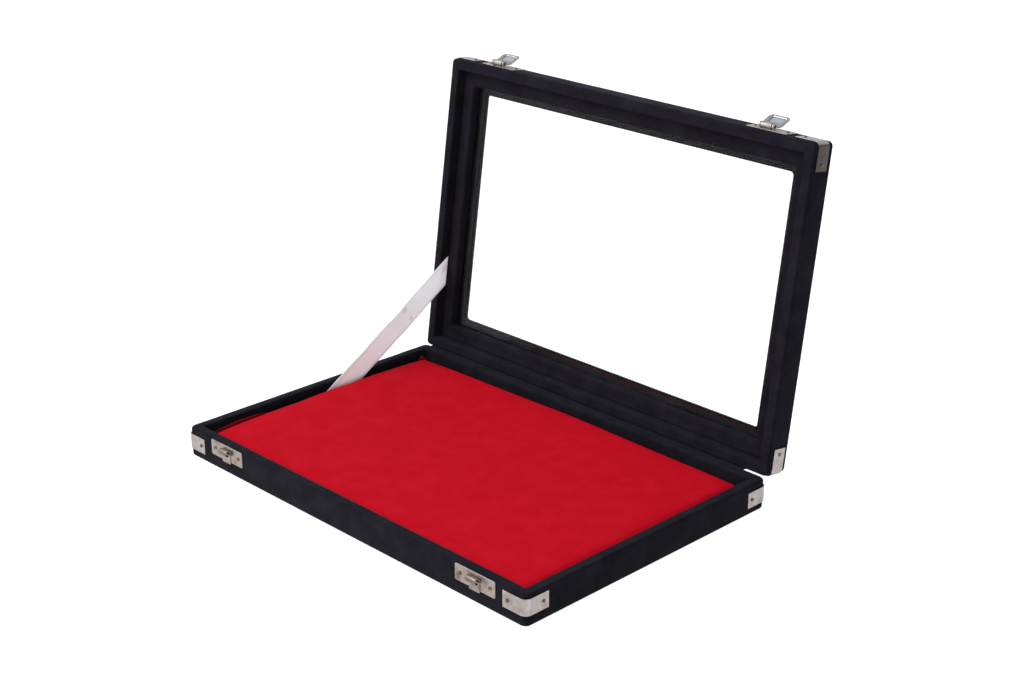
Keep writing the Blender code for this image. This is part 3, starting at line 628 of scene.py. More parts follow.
window_glass, tree, shader = new_material("window_glass")
shader.inputs["Transmission Weight"].default_value = 1.0
shader.inputs["IOR"].default_value = GLASS_IOR
place = object_place(tree)
smudges = spread(tree, noise(tree, place, 22, 5.0, 0.65), 0.52, 0.8, 0.0, 0.008)
tree.links.new(smudges, shader.inputs["Roughness"])
tint = blend_colour(tree, noise(tree, place, 9), (0.985, 0.992, 0.995, 1), (0.97, 0.98, 0.985, 1))
tree.links.new(tint, shader.inputs["Base Color"])
nodes["glass_pane"].data.materials.clear()
nodes["glass_pane"].data.materials.append(window_glass)


# Padded floor ---------------------------------------------------------------------------------------
# A foam sheet on card, with red velvet drawn over it and folded under. The cover is let out by a
# cloth simulation under light pressure, so that the edges round over and the top isn't quite flat.
# It is squeezed in beside the left and back walls, and stands higher along the middle of both.

PAD_LOW, PAD_HIGH = (np.array(corner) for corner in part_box("pad_cover"))
PAD_EDGE_RADIUS = 0.0012
PAD_CORNER_RADIUS = 0.0016
PAD_START_INSET = 0.0002
PAD_VOXEL = 0.003
PAD_PRESSURE = 4.0
PAD_FRAMES = 20
PAD_SOLVER_STEPS = 5
PAD_SWELL_CAP = 0.0013
PAD_TOP_START = 0.010
PAD_TOP_FADE = 0.003
PAD_RIPPLE = (0.00022, 0.11)
PAD_ROOM_BELOW = (0, -0.0005, 0.0001)
PAD_ROOM_ABOVE = (0.0005, 0.0006, 0.0038)
PAD_LEFT_LIFT = 0.0029
PAD_BACK_LIFT = 0.0023
PAD_LIFT_WIDTH = 0.055

red_velvet = pile_material(
    "red_velvet",
    deep=(0.415, 0.0020, 0.0085),
    raised=(0.46, 0.0030, 0.0115),
    lint=(0.75, 0.35, 0.35),
    lint_amount=0.3,
    nap_and_shade=0.0,
    sheen=0.01,
    sheen_tint=(1.0, 0.1, 0.15),
    depth=0.00018,
)


def rounded_block(low, high, corner_radius, edge_radius, steps):
    """A closed block with rounded upright corners and rounded long edges. Level by level, the plan is
    a rectangle with quarter-circle corners, and the edges' quarter circles move it in."""
    angle = np.linspace(0, np.pi / 2, steps)
    inset = edge_radius * (1 - np.sin(angle))
    climb = edge_radius * np.cos(angle)
    insets = np.concatenate([inset, inset[::-1]])
    levels = np.concatenate([
        low[2] + edge_radius - climb,
        high[2] - edge_radius + climb[::-1],
    ])
    rows = []
    for quarter, signs in enumerate(((1, 1), (-1, 1), (-1, -1), (1, -1))):
        turn = np.linspace(quarter, quarter + 1, steps) * np.pi / 2
        corner = np.where(np.array(signs) > 0, high[:2], low[:2])
        radius = corner_radius - 0.4 * insets
        centre = corner - np.array(signs) * (insets + radius)[:, None]
        outward = np.stack([np.cos(turn), np.sin(turn)], 1)
        rows.append(centre + radius[:, None] * outward[:, None, :])
    rows = np.concatenate(rows)
    heights = np.broadcast_to(levels, rows.shape[:2])[..., None]
    return np.concatenate([rows, heights], -1)


def block_faces(count, levels):
    """Side quads of a closed stack of outlines, with one face over each end."""
    row, level = np.arange(count)[:, None], np.arange(levels - 1)[None, :]
    after = (row + 1) % count
    corners = (row, level), (after, level), (after, level + 1), (row, level + 1)
    sides = np.stack([r * levels + k for r, k in corners], -1).reshape(-1, 4).tolist()
    ends = [(np.arange(count) * levels)[::-1].tolist(), (np.arange(count) * levels + levels - 1).tolist()]
    return sides + ends


def apply_modifiers(piece):
    """The piece's mesh as its modifiers leave it, with the modifiers gone."""
    graph = bpy.context.evaluated_depsgraph_get()
    finished = bpy.data.meshes.new_from_object(piece.evaluated_get(graph))
    piece.modifiers.clear()
    piece.data = finished


start = np.array([PAD_START_INSET] * 3)
pad_block = rounded_block(PAD_LOW + start, PAD_HIGH - start, PAD_CORNER_RADIUS, PAD_EDGE_RADIUS, 7)
pad_mesh = bpy.data.meshes.new("padded_floor")
pad_mesh.from_pydata(pad_block.reshape(-1, 3).tolist(), [], block_faces(*pad_block.shape[:2]))
pad = bpy.data.objects.new("padded_floor", pad_mesh)
bpy.context.scene.collection.objects.link(pad)
remesh = pad.modifiers.new("remesh", "REMESH")
remesh.mode = "VOXEL"
remesh.voxel_size = PAD_VOXEL
apply_modifiers(pad)
pad_rest = mesh_points(pad.data)
cloth = pad.modifiers.new("cloth", "CLOTH")
cloth.settings.use_pressure = True
cloth.settings.uniform_pressure_force = PAD_PRESSURE
cloth.settings.effector_weights.gravity = 0
cloth.settings.quality = PAD_SOLVER_STEPS
for number in range(1, PAD_FRAMES + 1):
    bpy.context.scene.frame_set(number)
apply_modifiers(pad)
bpy.context.scene.frame_set(1)
pad_points = mesh_points(pad.data)
moved = pad_points - pad_rest
length = np.linalg.norm(moved, axis=1, keepdims=True) + 1e-12
pad_points = pad_rest + moved / length * PAD_SWELL_CAP * np.tanh(length / PAD_SWELL_CAP)
near_top = smooth((pad_points[:, 2] - PAD_TOP_START) / PAD_TOP_FADE)
pad_points[:, 2] += near_top * ripple(pad_points, *PAD_RIPPLE, 3)
on_top = smooth((pad_points[:, 2] - PAD_LOW[2]) / (PAD_HIGH[2] - PAD_LOW[2]))
share = np.clip((pad_points[:, :2] - PAD_LOW[:2]) / (PAD_HIGH - PAD_LOW)[:2], 0, 1)
from_left = 1 - smooth((pad_points[:, 0] - PAD_LOW[0]) / PAD_LIFT_WIDTH)
from_back = 1 - smooth((PAD_HIGH[1] - pad_points[:, 1]) / PAD_LIFT_WIDTH)
left_lift = PAD_LEFT_LIFT * from_left * np.sin(np.pi * share[:, 1])
back_lift = PAD_BACK_LIFT * from_back * np.sin(np.pi * share[:, 0])
pad_points[:, 2] += on_top * np.maximum(left_lift, back_lift)
pad_points = np.clip(pad_points, PAD_LOW + PAD_ROOM_BELOW, PAD_HIGH + PAD_ROOM_ABOVE)
pad.data.vertices.foreach_set("co", pad_points.astype(np.float32).ravel())
rounding = pad.modifiers.new("rounding", "SUBSURF")
rounding.levels = 1
rounding.render_levels = 1
apply_modifiers(pad)
pad.data.materials.clear()
pad.data.materials.append(red_velvet)
pad.data.shade_smooth()
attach(pad, "base")
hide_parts("pad_cover", "pad_foam")


# Loose edge of the red cover ------------------------------------------------------------------------
# Along the left wall, near the front, the cover's raw edge has come up out of the gap beside the pad
# and curls over it. A crumpled tab of the same cloth stands up in the back left corner.

FOLD_THICKNESS = 0.0004
FOLD_LENGTH = 0.054
FOLD_DEPTH = 0.0095
FOLD_RISE = 0.0010
FOLD_ENDS = 0.8
TAB_LENGTH = 0.011
TAB_DEPTH = 0.0095
TAB_RISE = 0.0007
TAB_ENDS = 4
END_SINK = 0.0030
GAP_MIDDLE = -CASE_HALF_LENGTH + WALL + 0.00045

# A darker copy of the red velvet: painted shade for the loose edge and the tab, which stand in the shadow
# beside the walls.
shaded_red_velvet = pile_material(
    "raw_red_velvet",
    deep=(0.22, 0.0026, 0.0085),
    raised=(0.30, 0.0040, 0.0125),
    lint=(0.5, 0.2, 0.2),
    lint_amount=0.2,
    nap_and_shade=0.0,
    sheen=0.01,
    sheen_tint=(1.0, 0.1, 0.15),
    depth=0.0002,
)


def sheet_normals(middle):
    """Unit normals of a grid of points: the cross product of its two central differences."""
    across, along = np.gradient(middle, axis=1), np.gradient(middle, axis=0)
    normal = np.cross(along, across)
    return normal / np.linalg.norm(normal, axis=-1, keepdims=True)


def slab(middle, thickness):
    """A closed sheet over a grid of points: the grid moved half the thickness both ways along its
    normals, with a wall round the four borders."""
    rows, columns = middle.shape[:2]
    offset = sheet_normals(middle) * thickness / 2
    points = np.stack([middle + offset, middle - offset])
    number = np.arange(2 * rows * columns).reshape(2, rows, columns)
    quads = []
    for side in number:
        quads.append(np.stack([side[:-1, :-1], side[:-1, 1:], side[1:, 1:], side[1:, :-1]], -1))
    border = np.concatenate(
        [number[:, 0, :-1], number[:, :-1, -1], number[:, -1, :0:-1], number[:, :0:-1, 0]], 1
    )
    after = np.roll(border, -1, axis=1)
    quads.append(np.stack([border[0], after[0], after[1], border[1]], -1))
    return points, np.concatenate([part.reshape(-1, 4) for part in quads]).tolist()


def grid_uv(middle):
    """Each point's place on the flat sheet: its distance along its own row from the middle column,
    and down the middle column, in metres. The slab's two sides share it."""
    across = np.linalg.norm(np.diff(middle, axis=1), axis=-1).cumsum(1)
    across = np.concatenate([np.zeros((len(middle), 1)), across], 1)
    half_way = middle.shape[1] // 2
    across -= across[:, half_way:half_way + 1]
    centre = middle[:, half_way]
    along = np.concatenate([[0], np.linalg.norm(np.diff(centre, axis=0), axis=-1).cumsum()])
    flat = np.stack([across, np.broadcast_to(along[:, None], across.shape)], -1)
    return np.stack([flat, flat])


def loose_cloth(begin_y, length, depth, rise, ends, seed):
    """A strip whose lower part lies in the gap beside the pad. Its upper part leans over the pad as
    a quarter turn. The turn's radius and its height follow a power of a half sine wave along the
    wall, so that both ends sink into the gap."""
    rows = int(length / 0.0008)
    share = np.linspace(0, 1, rows)[:, None]
    y = begin_y + length * share
    wave = 1 + 0.22 * np.sin(11 * share + seed) + 0.12 * np.sin(27 * share + 2 * seed)
    profile = np.sin(np.pi * (0.02 + 0.96 * share)) ** ends
    radius = rise * (0.25 + 0.75 * wave * profile)
    top = PAD_HIGH[2] + 0.0001 - END_SINK * (1 - profile)
    down = np.linspace(depth, 0, 9)[None, :-1]
    stand_x = GAP_MIDDLE + 0 * share + 0 * down
    stand_z = top - down + 0 * share
    turn = np.linspace(0, 2.0, 12)[None, :]
    curl_x = GAP_MIDDLE + radius * (1 - np.cos(turn))
    curl_z = top + radius * 0.85 * np.sin(turn)
    x = np.concatenate([stand_x, curl_x], 1)
    z = np.concatenate([stand_z, curl_z], 1)
    return np.stack([x, y + 0 * x, z], -1)


pad_edge = loose_cloth(PAD_LOW[1] + 0.0006, FOLD_LENGTH, FOLD_DEPTH, FOLD_RISE, FOLD_ENDS, 1.0)
points, faces = slab(pad_edge, FOLD_THICKNESS)
loose_edge = make_piece("pad_loose_edge", points, faces, shaded_red_velvet, grid_uv(pad_edge))
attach(loose_edge, "base")

tab_begin = PAD_HIGH[1] - 0.7 * TAB_LENGTH
tab_middle = loose_cloth(tab_begin, TAB_LENGTH, TAB_DEPTH, TAB_RISE, TAB_ENDS, 2.3)
points, faces = slab(tab_middle, FOLD_THICKNESS)
loose_tab = make_piece("pad_corner_tab", points, faces, shaded_red_velvet, grid_uv(tab_middle))
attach(loose_tab, "base")


# Corner straps --------------------------------------------------------------------------------------
# Tinned sheet strips are bent round all eight corners, with a leg along each wall. They press the
# velvet in, and two brass nails hold each one. The side leg of the lid's front right one is painted
# nearly black, a painted dark reflection on that face, and the rolled hooks of the catches are painted
# dark brown, partly tarnish and partly painted shade in the roll.

SHEET_METAL = 0.0005
METAL_GAP = 0.0003
STRAP_LEG = 0.0168
STRAP_EDGE = 0.00013
STRAP_BEND = 0.0042
LID_STRAP_BEND = 0.0032
METAL_MIDDLE = METAL_GAP + SHEET_METAL / 2


def rounded_outline(half_width, half_height, radius, steps):
    """A rectangle's outline with quarter-circle corners, round its middle."""
    centres = ((1, 1), (-1, 1), (-1, -1), (1, -1))
    arcs = []
    for quarter, (sx, sy) in enumerate(centres):
        centre = (sx * (half_width - radius), sy * (half_height - radius))
        arcs.append(bend(centre, radius, 90 * quarter, 90 * (quarter + 1), steps))
        arcs.append([(centre[0] + radius * math.cos(math.pi / 2 * (quarter + 1)),
                      centre[1] + radius * math.sin(math.pi / 2 * (quarter + 1)))])
    return np.concatenate(arcs)


def swept(middle, outward, sideways, section):
    """A closed bar: a section of (outward, sideways) points carried along an open middle line, with
    a face over each end."""
    points = middle[:, None] + outward[:, None] * section[:, :1] + sideways * section[:, 1:]
    rows, columns = points.shape[:2]
    faces = ring_faces(rows, columns)[: (rows - 1) * columns]
    ends = [list(range(columns))[::-1], list(range((rows - 1) * columns, rows * columns))]
    return points, faces + ends


def join_parts(*parts):
    """One list of points and one of faces from several closed parts."""
    points = np.concatenate([part[0].reshape(-1, 3) for part in parts])
    faces = []
    count = 0
    for part_points, part_faces in parts:
        faces += [[index + count for index in face] for face in part_faces]
        count += part_points.size // 3
    return points, faces


def crease(piece, degrees=32):
    """Keeps metal edges crisp and everything flatter than the angle smooth."""
    piece.data.set_sharp_from_angle(angle=math.radians(degrees))


def make_tin_group():
    """Dull tinned sheet: cloudy spangle, fine straight scratches and brownish tarnish in patches."""
    colour, value, vector = "NodeSocketColor", "NodeSocketFloat", "NodeSocketVector"
    group, given, result = new_group(
        "dull_tin",
        [
            ("Place", vector, (0, 0, 0)),
            ("Bright", colour, (0.5, 0.46, 0.44, 1)),
            ("Tarnish", colour, (0.12, 0.09, 0.07, 1)),
            ("Tarnish Amount", value, 0.3),
        ],
        [("Color", colour), ("Height", value), ("Roughness", value)],
    )
    place = given["Place"]
    cloud = noise(group, place, 300, 3.0, 0.6)
    fine = noise(group, place, 2200, 2.0, 0.6)
    stretch = add_node(group, "ShaderNodeMapping", Vector=place, Scale=(0.06, 1.0, 1.0))
    scratch = noise(group, stretch.outputs[0], 5200, 1.0, 0.5)
    lines = spread(group, scratch, 0.62, 0.7)
    patch = spread(group, noise(group, place, 130, 4.0, 0.65), 0.5, 0.78)
    amount = maths(group, "MULTIPLY", patch, given["Tarnish Amount"])
    pale = add_node(group, "ShaderNodeHueSaturation", Color=given["Bright"])
    group.links.new(spread(group, cloud, 0.3, 0.75, 0.82, 1.12), pale.inputs["Value"])
    group.links.new(blend_colour(group, amount, pale.outputs[0], given["Tarnish"]), result["Color"])
    rough = spread(group, cloud, 0.3, 0.7, 0.34, 0.5)
    rough = maths(group, "ADD", rough, maths(group, "MULTIPLY", lines, 0.12))
    rough = maths(group, "ADD", rough, maths(group, "MULTIPLY", amount, 0.3))
    group.links.new(rough, result["Roughness"])
    height = maths(group, "ADD", maths(group, "MULTIPLY", cloud, 2.0), fine)
    group.links.new(maths(group, "SUBTRACT", height, lines), result["Height"])
    return group


def tin_material(name, bright, tarnish, tarnish_amount, stain_and_shade=None):
    """Tinned sheet: the tin group's colour and relief on a metal shader. A dark band is given by the axis
    it grows along, the places where it begins and is full, and its full amount. It is painted: a painted
    dark reflection on one strap's side leg, and tarnish with painted shade on the catches' hooks."""
    made, tree, shader = new_material(name)
    place = object_place(tree)
    tin = add_node(tree, "ShaderNodeGroup", {"node_tree": tin_group}, Place=place)
    tin.inputs["Bright"].default_value = (*bright, 1)
    tin.inputs["Tarnish"].default_value = (*tarnish, 1)
    tin.inputs["Tarnish Amount"].default_value = tarnish_amount
    colour = tin.outputs["Color"]
    if stain_and_shade:
        axis, begin, full, amount = stain_and_shade
        across = add_node(tree, "ShaderNodeSeparateXYZ", Vector=place).outputs[axis]
        # Painted darkening along the band: painted dark reflection on the strap's side leg, painted shade
        # with tarnish on the hooks.
        stain_and_shade_share = spread(tree, across, begin, full, 0.0, amount)
        colour = blend_colour(tree, stain_and_shade_share, colour, (0.038, 0.027, 0.025, 1))
    tree.links.new(colour, shader.inputs["Base Color"])
    tree.links.new(tin.outputs["Roughness"], shader.inputs["Roughness"])
    add_relief(tree, shader, tin.outputs["Height"], 0.35, 0.00004)
    shader.inputs["Metallic"].default_value = 1.0
    return made


tin_group = make_tin_group()
tinned_sheet = tin_material("tinned_sheet", (0.42, 0.37, 0.35), (0.15, 0.11, 0.08), 0.45)
# Its side leg is painted nearly black: a painted dark reflection on that face.
stained_sheet = tin_material(
    "stained_sheet", (0.38, 0.34, 0.33), (0.12, 0.09, 0.07), 0.6,
    ("X", CASE_HALF_LENGTH + 0.0001, CASE_HALF_LENGTH + 0.0005, 0.88),
)
# The rolled hooks are painted dark brown: partly tarnish, partly painted shade in and beside the roll.
catch_sheet = tin_material(
    "catch_sheet", (0.37, 0.31, 0.27), (0.11, 0.075, 0.05), 0.75,
    ("Y", -CASE_HALF_DEPTH - 0.0015, -CASE_HALF_DEPTH - 0.0032, 0.5),
)


def corner_strap(sx, sy, low, high, radius):
    """A strip bent round an upright corner: its middle line runs along one wall, round a quarter
    circle and along the other wall."""
    centre = np.array([CASE_HALF_LENGTH, CASE_HALF_DEPTH]) + METAL_MIDDLE - radius
    far_x = (CASE_HALF_LENGTH - STRAP_LEG, CASE_HALF_DEPTH + METAL_MIDDLE)
    far_y = (CASE_HALF_LENGTH + METAL_MIDDLE, CASE_HALF_DEPTH - STRAP_LEG)
    path = np.concatenate([
        line(far_x, (centre[0], far_x[1]), 16),
        bend(centre, radius, 90, 0, 12),
        line((far_y[0], centre[1]), far_y, 16),
        [far_y],
    ])
    outward = path_normals(path)
    middle = np.concatenate([path, np.full((len(path), 1), (low + high) / 2)], 1)
    outward = np.concatenate([outward, np.zeros((len(path), 1))], 1)
    section = rounded_outline(SHEET_METAL / 2, (high - low) / 2, STRAP_EDGE, 3)
    turn = np.array([sx, sy, 1])
    return swept(middle * turn, outward * turn, np.array([0, 0, 1.0]), section)


for name in [node for node in nodes if "_strap_" in node and "nail" not in node]:
    on_lid = name.startswith("lid")
    low, high = shut_box(name) if on_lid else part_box(name)
    sx = 1 if "right" in name else -1
    sy = 1 if "back" in name else -1
    bend_radius = LID_STRAP_BEND if on_lid else STRAP_BEND
    points, faces = corner_strap(sx, sy, low[2], high[2], bend_radius)
    finish = stained_sheet if name == "lid_strap_front_right" else tinned_sheet
    strap = make_piece(name + "_sheet", opened(points) if on_lid else points, faces, finish)
    crease(strap)
    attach(strap, "lid" if on_lid else "base")
    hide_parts(name)


# Catch plates ---------------------------------------------------------------------------------------
# Each is a flat tinned plate. A strip from its lower edge is folded up over its face and rolled into
# a hook.

PLATE_CORNER_RADIUS = 0.0011
PLATE_EDGE = 0.00014
CATCH_TOP = BASE_HEIGHT - 0.0004
CATCH_LOW = CATCH_TOP - 0.0103
CATCH_WIDTH = 0.0318
TONGUE_WIDTH = 0.0082
TONGUE_TAB = 0.001
TONGUE_SINK = 0.00005
HOOK_RADIUS = 0.0017
HOOK_END = -115
HOOK_HEIGHT = 0.0153


def front_plate(centre, width, low, high):
    """A flat plate with rounded corners and softened edges, on the front wall."""
    block = rounded_block(
        np.array([centre - width / 2, low, METAL_GAP]),
        np.array([centre + width / 2, high, METAL_GAP + SHEET_METAL]),
        PLATE_CORNER_RADIUS, PLATE_EDGE, 5,
    )
    return front_places(block[..., 0], block[..., 1], block[..., 2]), block_faces(*block.shape[:2])


def front_places(x, height, proud):
    """Points on the front wall from their x, their height and how far they stand off the velvet."""
    return np.stack([x, -CASE_HALF_DEPTH - proud, height], -1)


def front_strip(centre, width, path, edge):
    """A strip of sheet metal across the front: a rounded section carried along a path of (distance
    off the velvet, height) points."""
    across = path_normals(path)
    middle = front_places(np.full(len(path), centre), path[:, 1], path[:, 0])
    outward = np.stack([0 * across[:, 0], -across[:, 0], across[:, 1]], -1)
    section = rounded_outline(SHEET_METAL / 2, width / 2, edge, 3)
    return swept(middle, outward, np.array([1.0, 0, 0]), section)


tongue_out = METAL_GAP + SHEET_METAL + SHEET_METAL / 2 - TONGUE_SINK
tongue_path = np.concatenate([
    line((tongue_out, CATCH_LOW - TONGUE_TAB), (tongue_out, HOOK_HEIGHT), 18),
    bend((tongue_out + HOOK_RADIUS, HOOK_HEIGHT), HOOK_RADIUS, 180, HOOK_END, 30),
    bend((tongue_out + HOOK_RADIUS, HOOK_HEIGHT), HOOK_RADIUS, HOOK_END, HOOK_END - 1, 1),
])
clasp_centres = {}
for side in ("left", "right"):
    name = "catch_plate_" + side
    low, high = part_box(name)
    clasp_centres[side] = (low[0] + high[0]) / 2
    plate = front_plate(clasp_centres[side], CATCH_WIDTH, CATCH_LOW, CATCH_TOP)
    tongue = front_strip(clasp_centres[side], TONGUE_WIDTH, tongue_path, STRAP_EDGE)
    catch = make_piece(name + "_sheet", *join_parts(plate, tongue), catch_sheet)
    crease(catch)
    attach(catch, "base")
    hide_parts(name)


# Hasp plates ----------------------------------------------------------------------------------------
# Each carries a hollow round bar, held at both ends by a ring on a short foot. The hasp turns on it.

HASP_PLATE_WIDTH = 0.0300
HASP_PLATE_LOW = LID_FLOOR + 0.0028
HASP_PLATE_HIGH = HASP_PLATE_LOW + 0.0124
BAR_RADIUS = 0.0011
BAR_OUTSIDE = 0.97 * BAR_RADIUS
BAR_BORE = 0.00075
BAR_EDGE = 0.00012
RING_RADIUS = 0.00185
BAR_SIDES = 32
ROLL_WIDTH = 0.0075
BAR_END_GAP = 0.0004
LUG = 0.0012
LUG_EDGE = 0.0003
LUG_INSET = 0.0001

BAR_Y, BAR_Z = shut(np.array(joints["hasp_left_hinge"]["pos_m"]))[1:]
BAR_PROUD = -CASE_HALF_DEPTH - BAR_Y


def tube(low_x, high_x, outer, inner):
    """A hollow round bar about the hasp's axis: a closed outline of (x, radius) carried round."""
    outline = np.array([
        (low_x, inner), (low_x, outer - BAR_EDGE), (low_x + BAR_EDGE, outer),
        (high_x - BAR_EDGE, outer), (high_x, outer - BAR_EDGE), (high_x, inner),
    ])
    angle = np.linspace(0, 2 * np.pi, BAR_SIDES, endpoint=False)[:, None]
    x = outline[:, 0] + 0 * angle
    y = BAR_Y + outline[:, 1] * np.cos(angle)
    z = BAR_Z + outline[:, 1] * np.sin(angle)
    return np.stack([x, y, z], -1), ring_faces(BAR_SIDES, len(outline))


def hasp_bar(centre):
    """A hollow round bar along the front, held at each end by a ring on a short foot."""
    inner = ROLL_WIDTH / 2 + BAR_END_GAP
    parts = [tube(centre - inner - LUG, centre + inner + LUG, BAR_OUTSIDE, BAR_BORE)]
    for low_x in (centre - inner - LUG, centre + inner):
        parts.append(tube(low_x, low_x + LUG, RING_RADIUS, BAR_OUTSIDE))
        block = rounded_block(
            np.array([low_x + LUG_INSET, BAR_Z - BAR_RADIUS, METAL_GAP + SHEET_METAL / 2]),
            np.array([low_x + LUG - LUG_INSET, BAR_Z + BAR_RADIUS, BAR_PROUD - 0.9 * BAR_RADIUS]),
            LUG_EDGE, LUG_EDGE / 2, 5,
        )
        foot = front_places(block[..., 0], block[..., 1], block[..., 2])
        parts.append((foot, block_faces(*block.shape[:2])))
    return parts


for side, centre in clasp_centres.items():
    name = "hasp_plate_" + side
    plate = front_plate(centre, HASP_PLATE_WIDTH, HASP_PLATE_LOW, HASP_PLATE_HIGH)
    points, faces = join_parts(plate, *hasp_bar(centre))
    holder = make_piece(name + "_sheet", opened(points), faces, catch_sheet)
    crease(holder)
    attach(holder, "lid")
    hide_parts(name)


# Hasps ----------------------------------------------------------------------------------------------
# One piece of tinned sheet: rolled loosely round the bar, then a short neck, then a flap with
# rounded corners. A shallow pocket is pressed outwards in the flap to go over the catch's hook.

ROLL_RADIUS = 0.0017
ROLL_START = 285
NECK = 0.0026
HASP_LENGTH = 0.0132
HASP_HALF_WIDTH = 0.0076
HASP_CORNER = 0.0025
POCKET_HALF_WIDTH = 0.0049
POCKET_LOW = BAR_Z - HASP_LENGTH + 0.0014
POCKET_HIGH = HOOK_HEIGHT + 0.0027
POCKET_DEPTH = 0.00065
POCKET_SLOPE = 0.0005
HASP_COLUMNS = 75
# Painted highlight on the pocket's face, and painted shade in the thin line round its edge.
POCKET_HIGHLIGHT_COLOUR = (0.47, 0.465, 0.455, 1)
GROOVE_SHADE_COLOUR = (0.10, 0.085, 0.075, 1)

roll_length = math.radians(ROLL_START) * ROLL_RADIUS
pocket_middle = roll_length + BAR_Z - (POCKET_LOW + POCKET_HIGH) / 2
pocket_half_height = (POCKET_HIGH - POCKET_LOW) / 2
hasp_sheet = tin_material("hasp_sheet", (0.37, 0.335, 0.30), (0.13, 0.095, 0.07), 0.6)
tree = hasp_sheet.node_tree
shader = tree.nodes["Principled BSDF"]
flat_place = add_node(
    tree, "ShaderNodeSeparateXYZ", Vector=tree.nodes.new("ShaderNodeUVMap").outputs["UV"]
)
aside = maths(tree, "ABSOLUTE", flat_place.outputs["X"])
aside = maths(tree, "SUBTRACT", aside, POCKET_HALF_WIDTH)
above = maths(tree, "SUBTRACT", flat_place.outputs["Y"], pocket_middle)
above = maths(tree, "SUBTRACT", maths(tree, "ABSOLUTE", above), pocket_half_height)
outside = maths(tree, "MAXIMUM", aside, above)
# The pocket's face is painted paler, a painted highlight, and a thin line round its edge is painted dark,
# painted shade.
paler_patch = spread(tree, outside, -0.0007, -0.0002, 1.0, 0.0)
groove_shade = spread(tree, maths(tree, "ABSOLUTE", outside), 0.0001, 0.00045, 0.75, 0.0)
metal = shader.inputs["Base Color"].links[0].from_socket
metal = blend_colour(tree, paler_patch, metal, POCKET_HIGHLIGHT_COLOUR)
tree.links.new(blend_colour(tree, groove_shade, metal, GROOVE_SHADE_COLOUR), shader.inputs["Base Color"])


def hasp_surface(centre):
    """Middle surface of a shut hasp. Rows follow the roll's arc, the neck and the flap, columns go
    across, and each row's half width comes from the neck or the flap's rounded outline."""
    flap_out = BAR_PROUD + ROLL_RADIUS
    flap_top = BAR_Z - NECK + SHEET_METAL
    flap_low = BAR_Z - HASP_LENGTH
    easing = HASP_CORNER * (1 - np.cos(np.linspace(0, np.pi / 2, 9)))
    heights = np.concatenate([
        flap_top - easing,
        np.linspace(flap_top - HASP_CORNER, flap_low + HASP_CORNER, 42)[1:-1],
        flap_low + easing[::-1],
    ])
    depth_in = np.minimum(flap_top - heights, heights - flap_low)
    rest = np.clip(HASP_CORNER - depth_in, 0, HASP_CORNER)
    flap_half = HASP_HALF_WIDTH - HASP_CORNER + np.sqrt(HASP_CORNER ** 2 - rest ** 2)
    flap = np.stack([np.full(len(heights), flap_out), heights], 1)
    roll = bend((BAR_PROUD, BAR_Z), ROLL_RADIUS, ROLL_START, 0, 40)
    neck = line((flap_out, BAR_Z), (flap_out, flap_top + 0.00002), 6)
    shoulder = [(flap_out, flap_top + 0.00002)]
    path = np.concatenate([roll, neck, shoulder, flap])
    half_width = np.concatenate([np.full(len(roll) + 7, ROLL_WIDTH / 2), flap_half])
    x = half_width[:, None] * np.linspace(-1, 1, HASP_COLUMNS)
    height = path[:, 1:] + 0 * x
    rise = smooth((POCKET_HALF_WIDTH + POCKET_SLOPE - np.abs(x)) / POCKET_SLOPE)
    rise *= smooth((height - POCKET_LOW + POCKET_SLOPE) / POCKET_SLOPE)
    rise *= smooth((POCKET_HIGH + POCKET_SLOPE - height) / POCKET_SLOPE)
    proud = path[:, :1] + POCKET_DEPTH * rise
    return front_places(centre + x, height, proud)


for side, centre in clasp_centres.items():
    name = "hasp_" + side
    swing = math.radians(joints[name + "_hinge"]["range_deg"][1])
    hasp_middle = hasp_surface(centre)
    points, faces = slab(hasp_middle, SHEET_METAL)
    turned = opened(turned_back(points, BAR_Y, BAR_Z, swing))
    hasp = make_piece(name + "_sheet", turned, faces, hasp_sheet, grid_uv(hasp_middle))
    crease(hasp, 40)
    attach(hasp, name)
    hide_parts(name)


# Nails ----------------------------------------------------------------------------------------------
# Small domed brass nails, gone brown, hold the straps and plates.

NAIL_HEAD = 0.0011
NAIL_HEAD_HEIGHT = 0.0005
NAIL_SHANK = 0.00045
NAIL_LENGTH = 0.0036
NAIL_SEAT = METAL_GAP + SHEET_METAL + METAL_GAP
NAIL_SIDES = 24
NAIL_POLE = 0.00001

brass_nail, tree, shader = new_material("brass_nail")
place = object_place(tree)
worn = spread(tree, noise(tree, place, 900, 3.0, 0.6), 0.4, 0.7)
brass_colour = blend_colour(tree, worn, (0.13, 0.075, 0.035, 1), (0.36, 0.24, 0.11, 1))
tree.links.new(brass_colour, shader.inputs["Base Color"])
tree.links.new(spread(tree, worn, 0, 1, 0.5, 0.32), shader.inputs["Roughness"])
add_relief(tree, shader, noise(tree, place, 2500), 0.3, 0.00003)
shader.inputs["Metallic"].default_value = 1.0

dome = np.radians(np.linspace(0, 90, 8))
nail_profile = np.concatenate([
    [
        (NAIL_POLE, -NAIL_LENGTH),
        (NAIL_SHANK, -NAIL_LENGTH + NAIL_SHANK),
        (NAIL_SHANK, NAIL_SEAT),
        (NAIL_HEAD * 0.97, NAIL_SEAT),
    ],
    np.stack([
        NAIL_HEAD * np.cos(dome),
        NAIL_SEAT + NAIL_HEAD_HEIGHT * (0.15 + 0.85 * np.sin(dome)),
    ], 1),
])
nail_profile[-1, 0] = NAIL_POLE


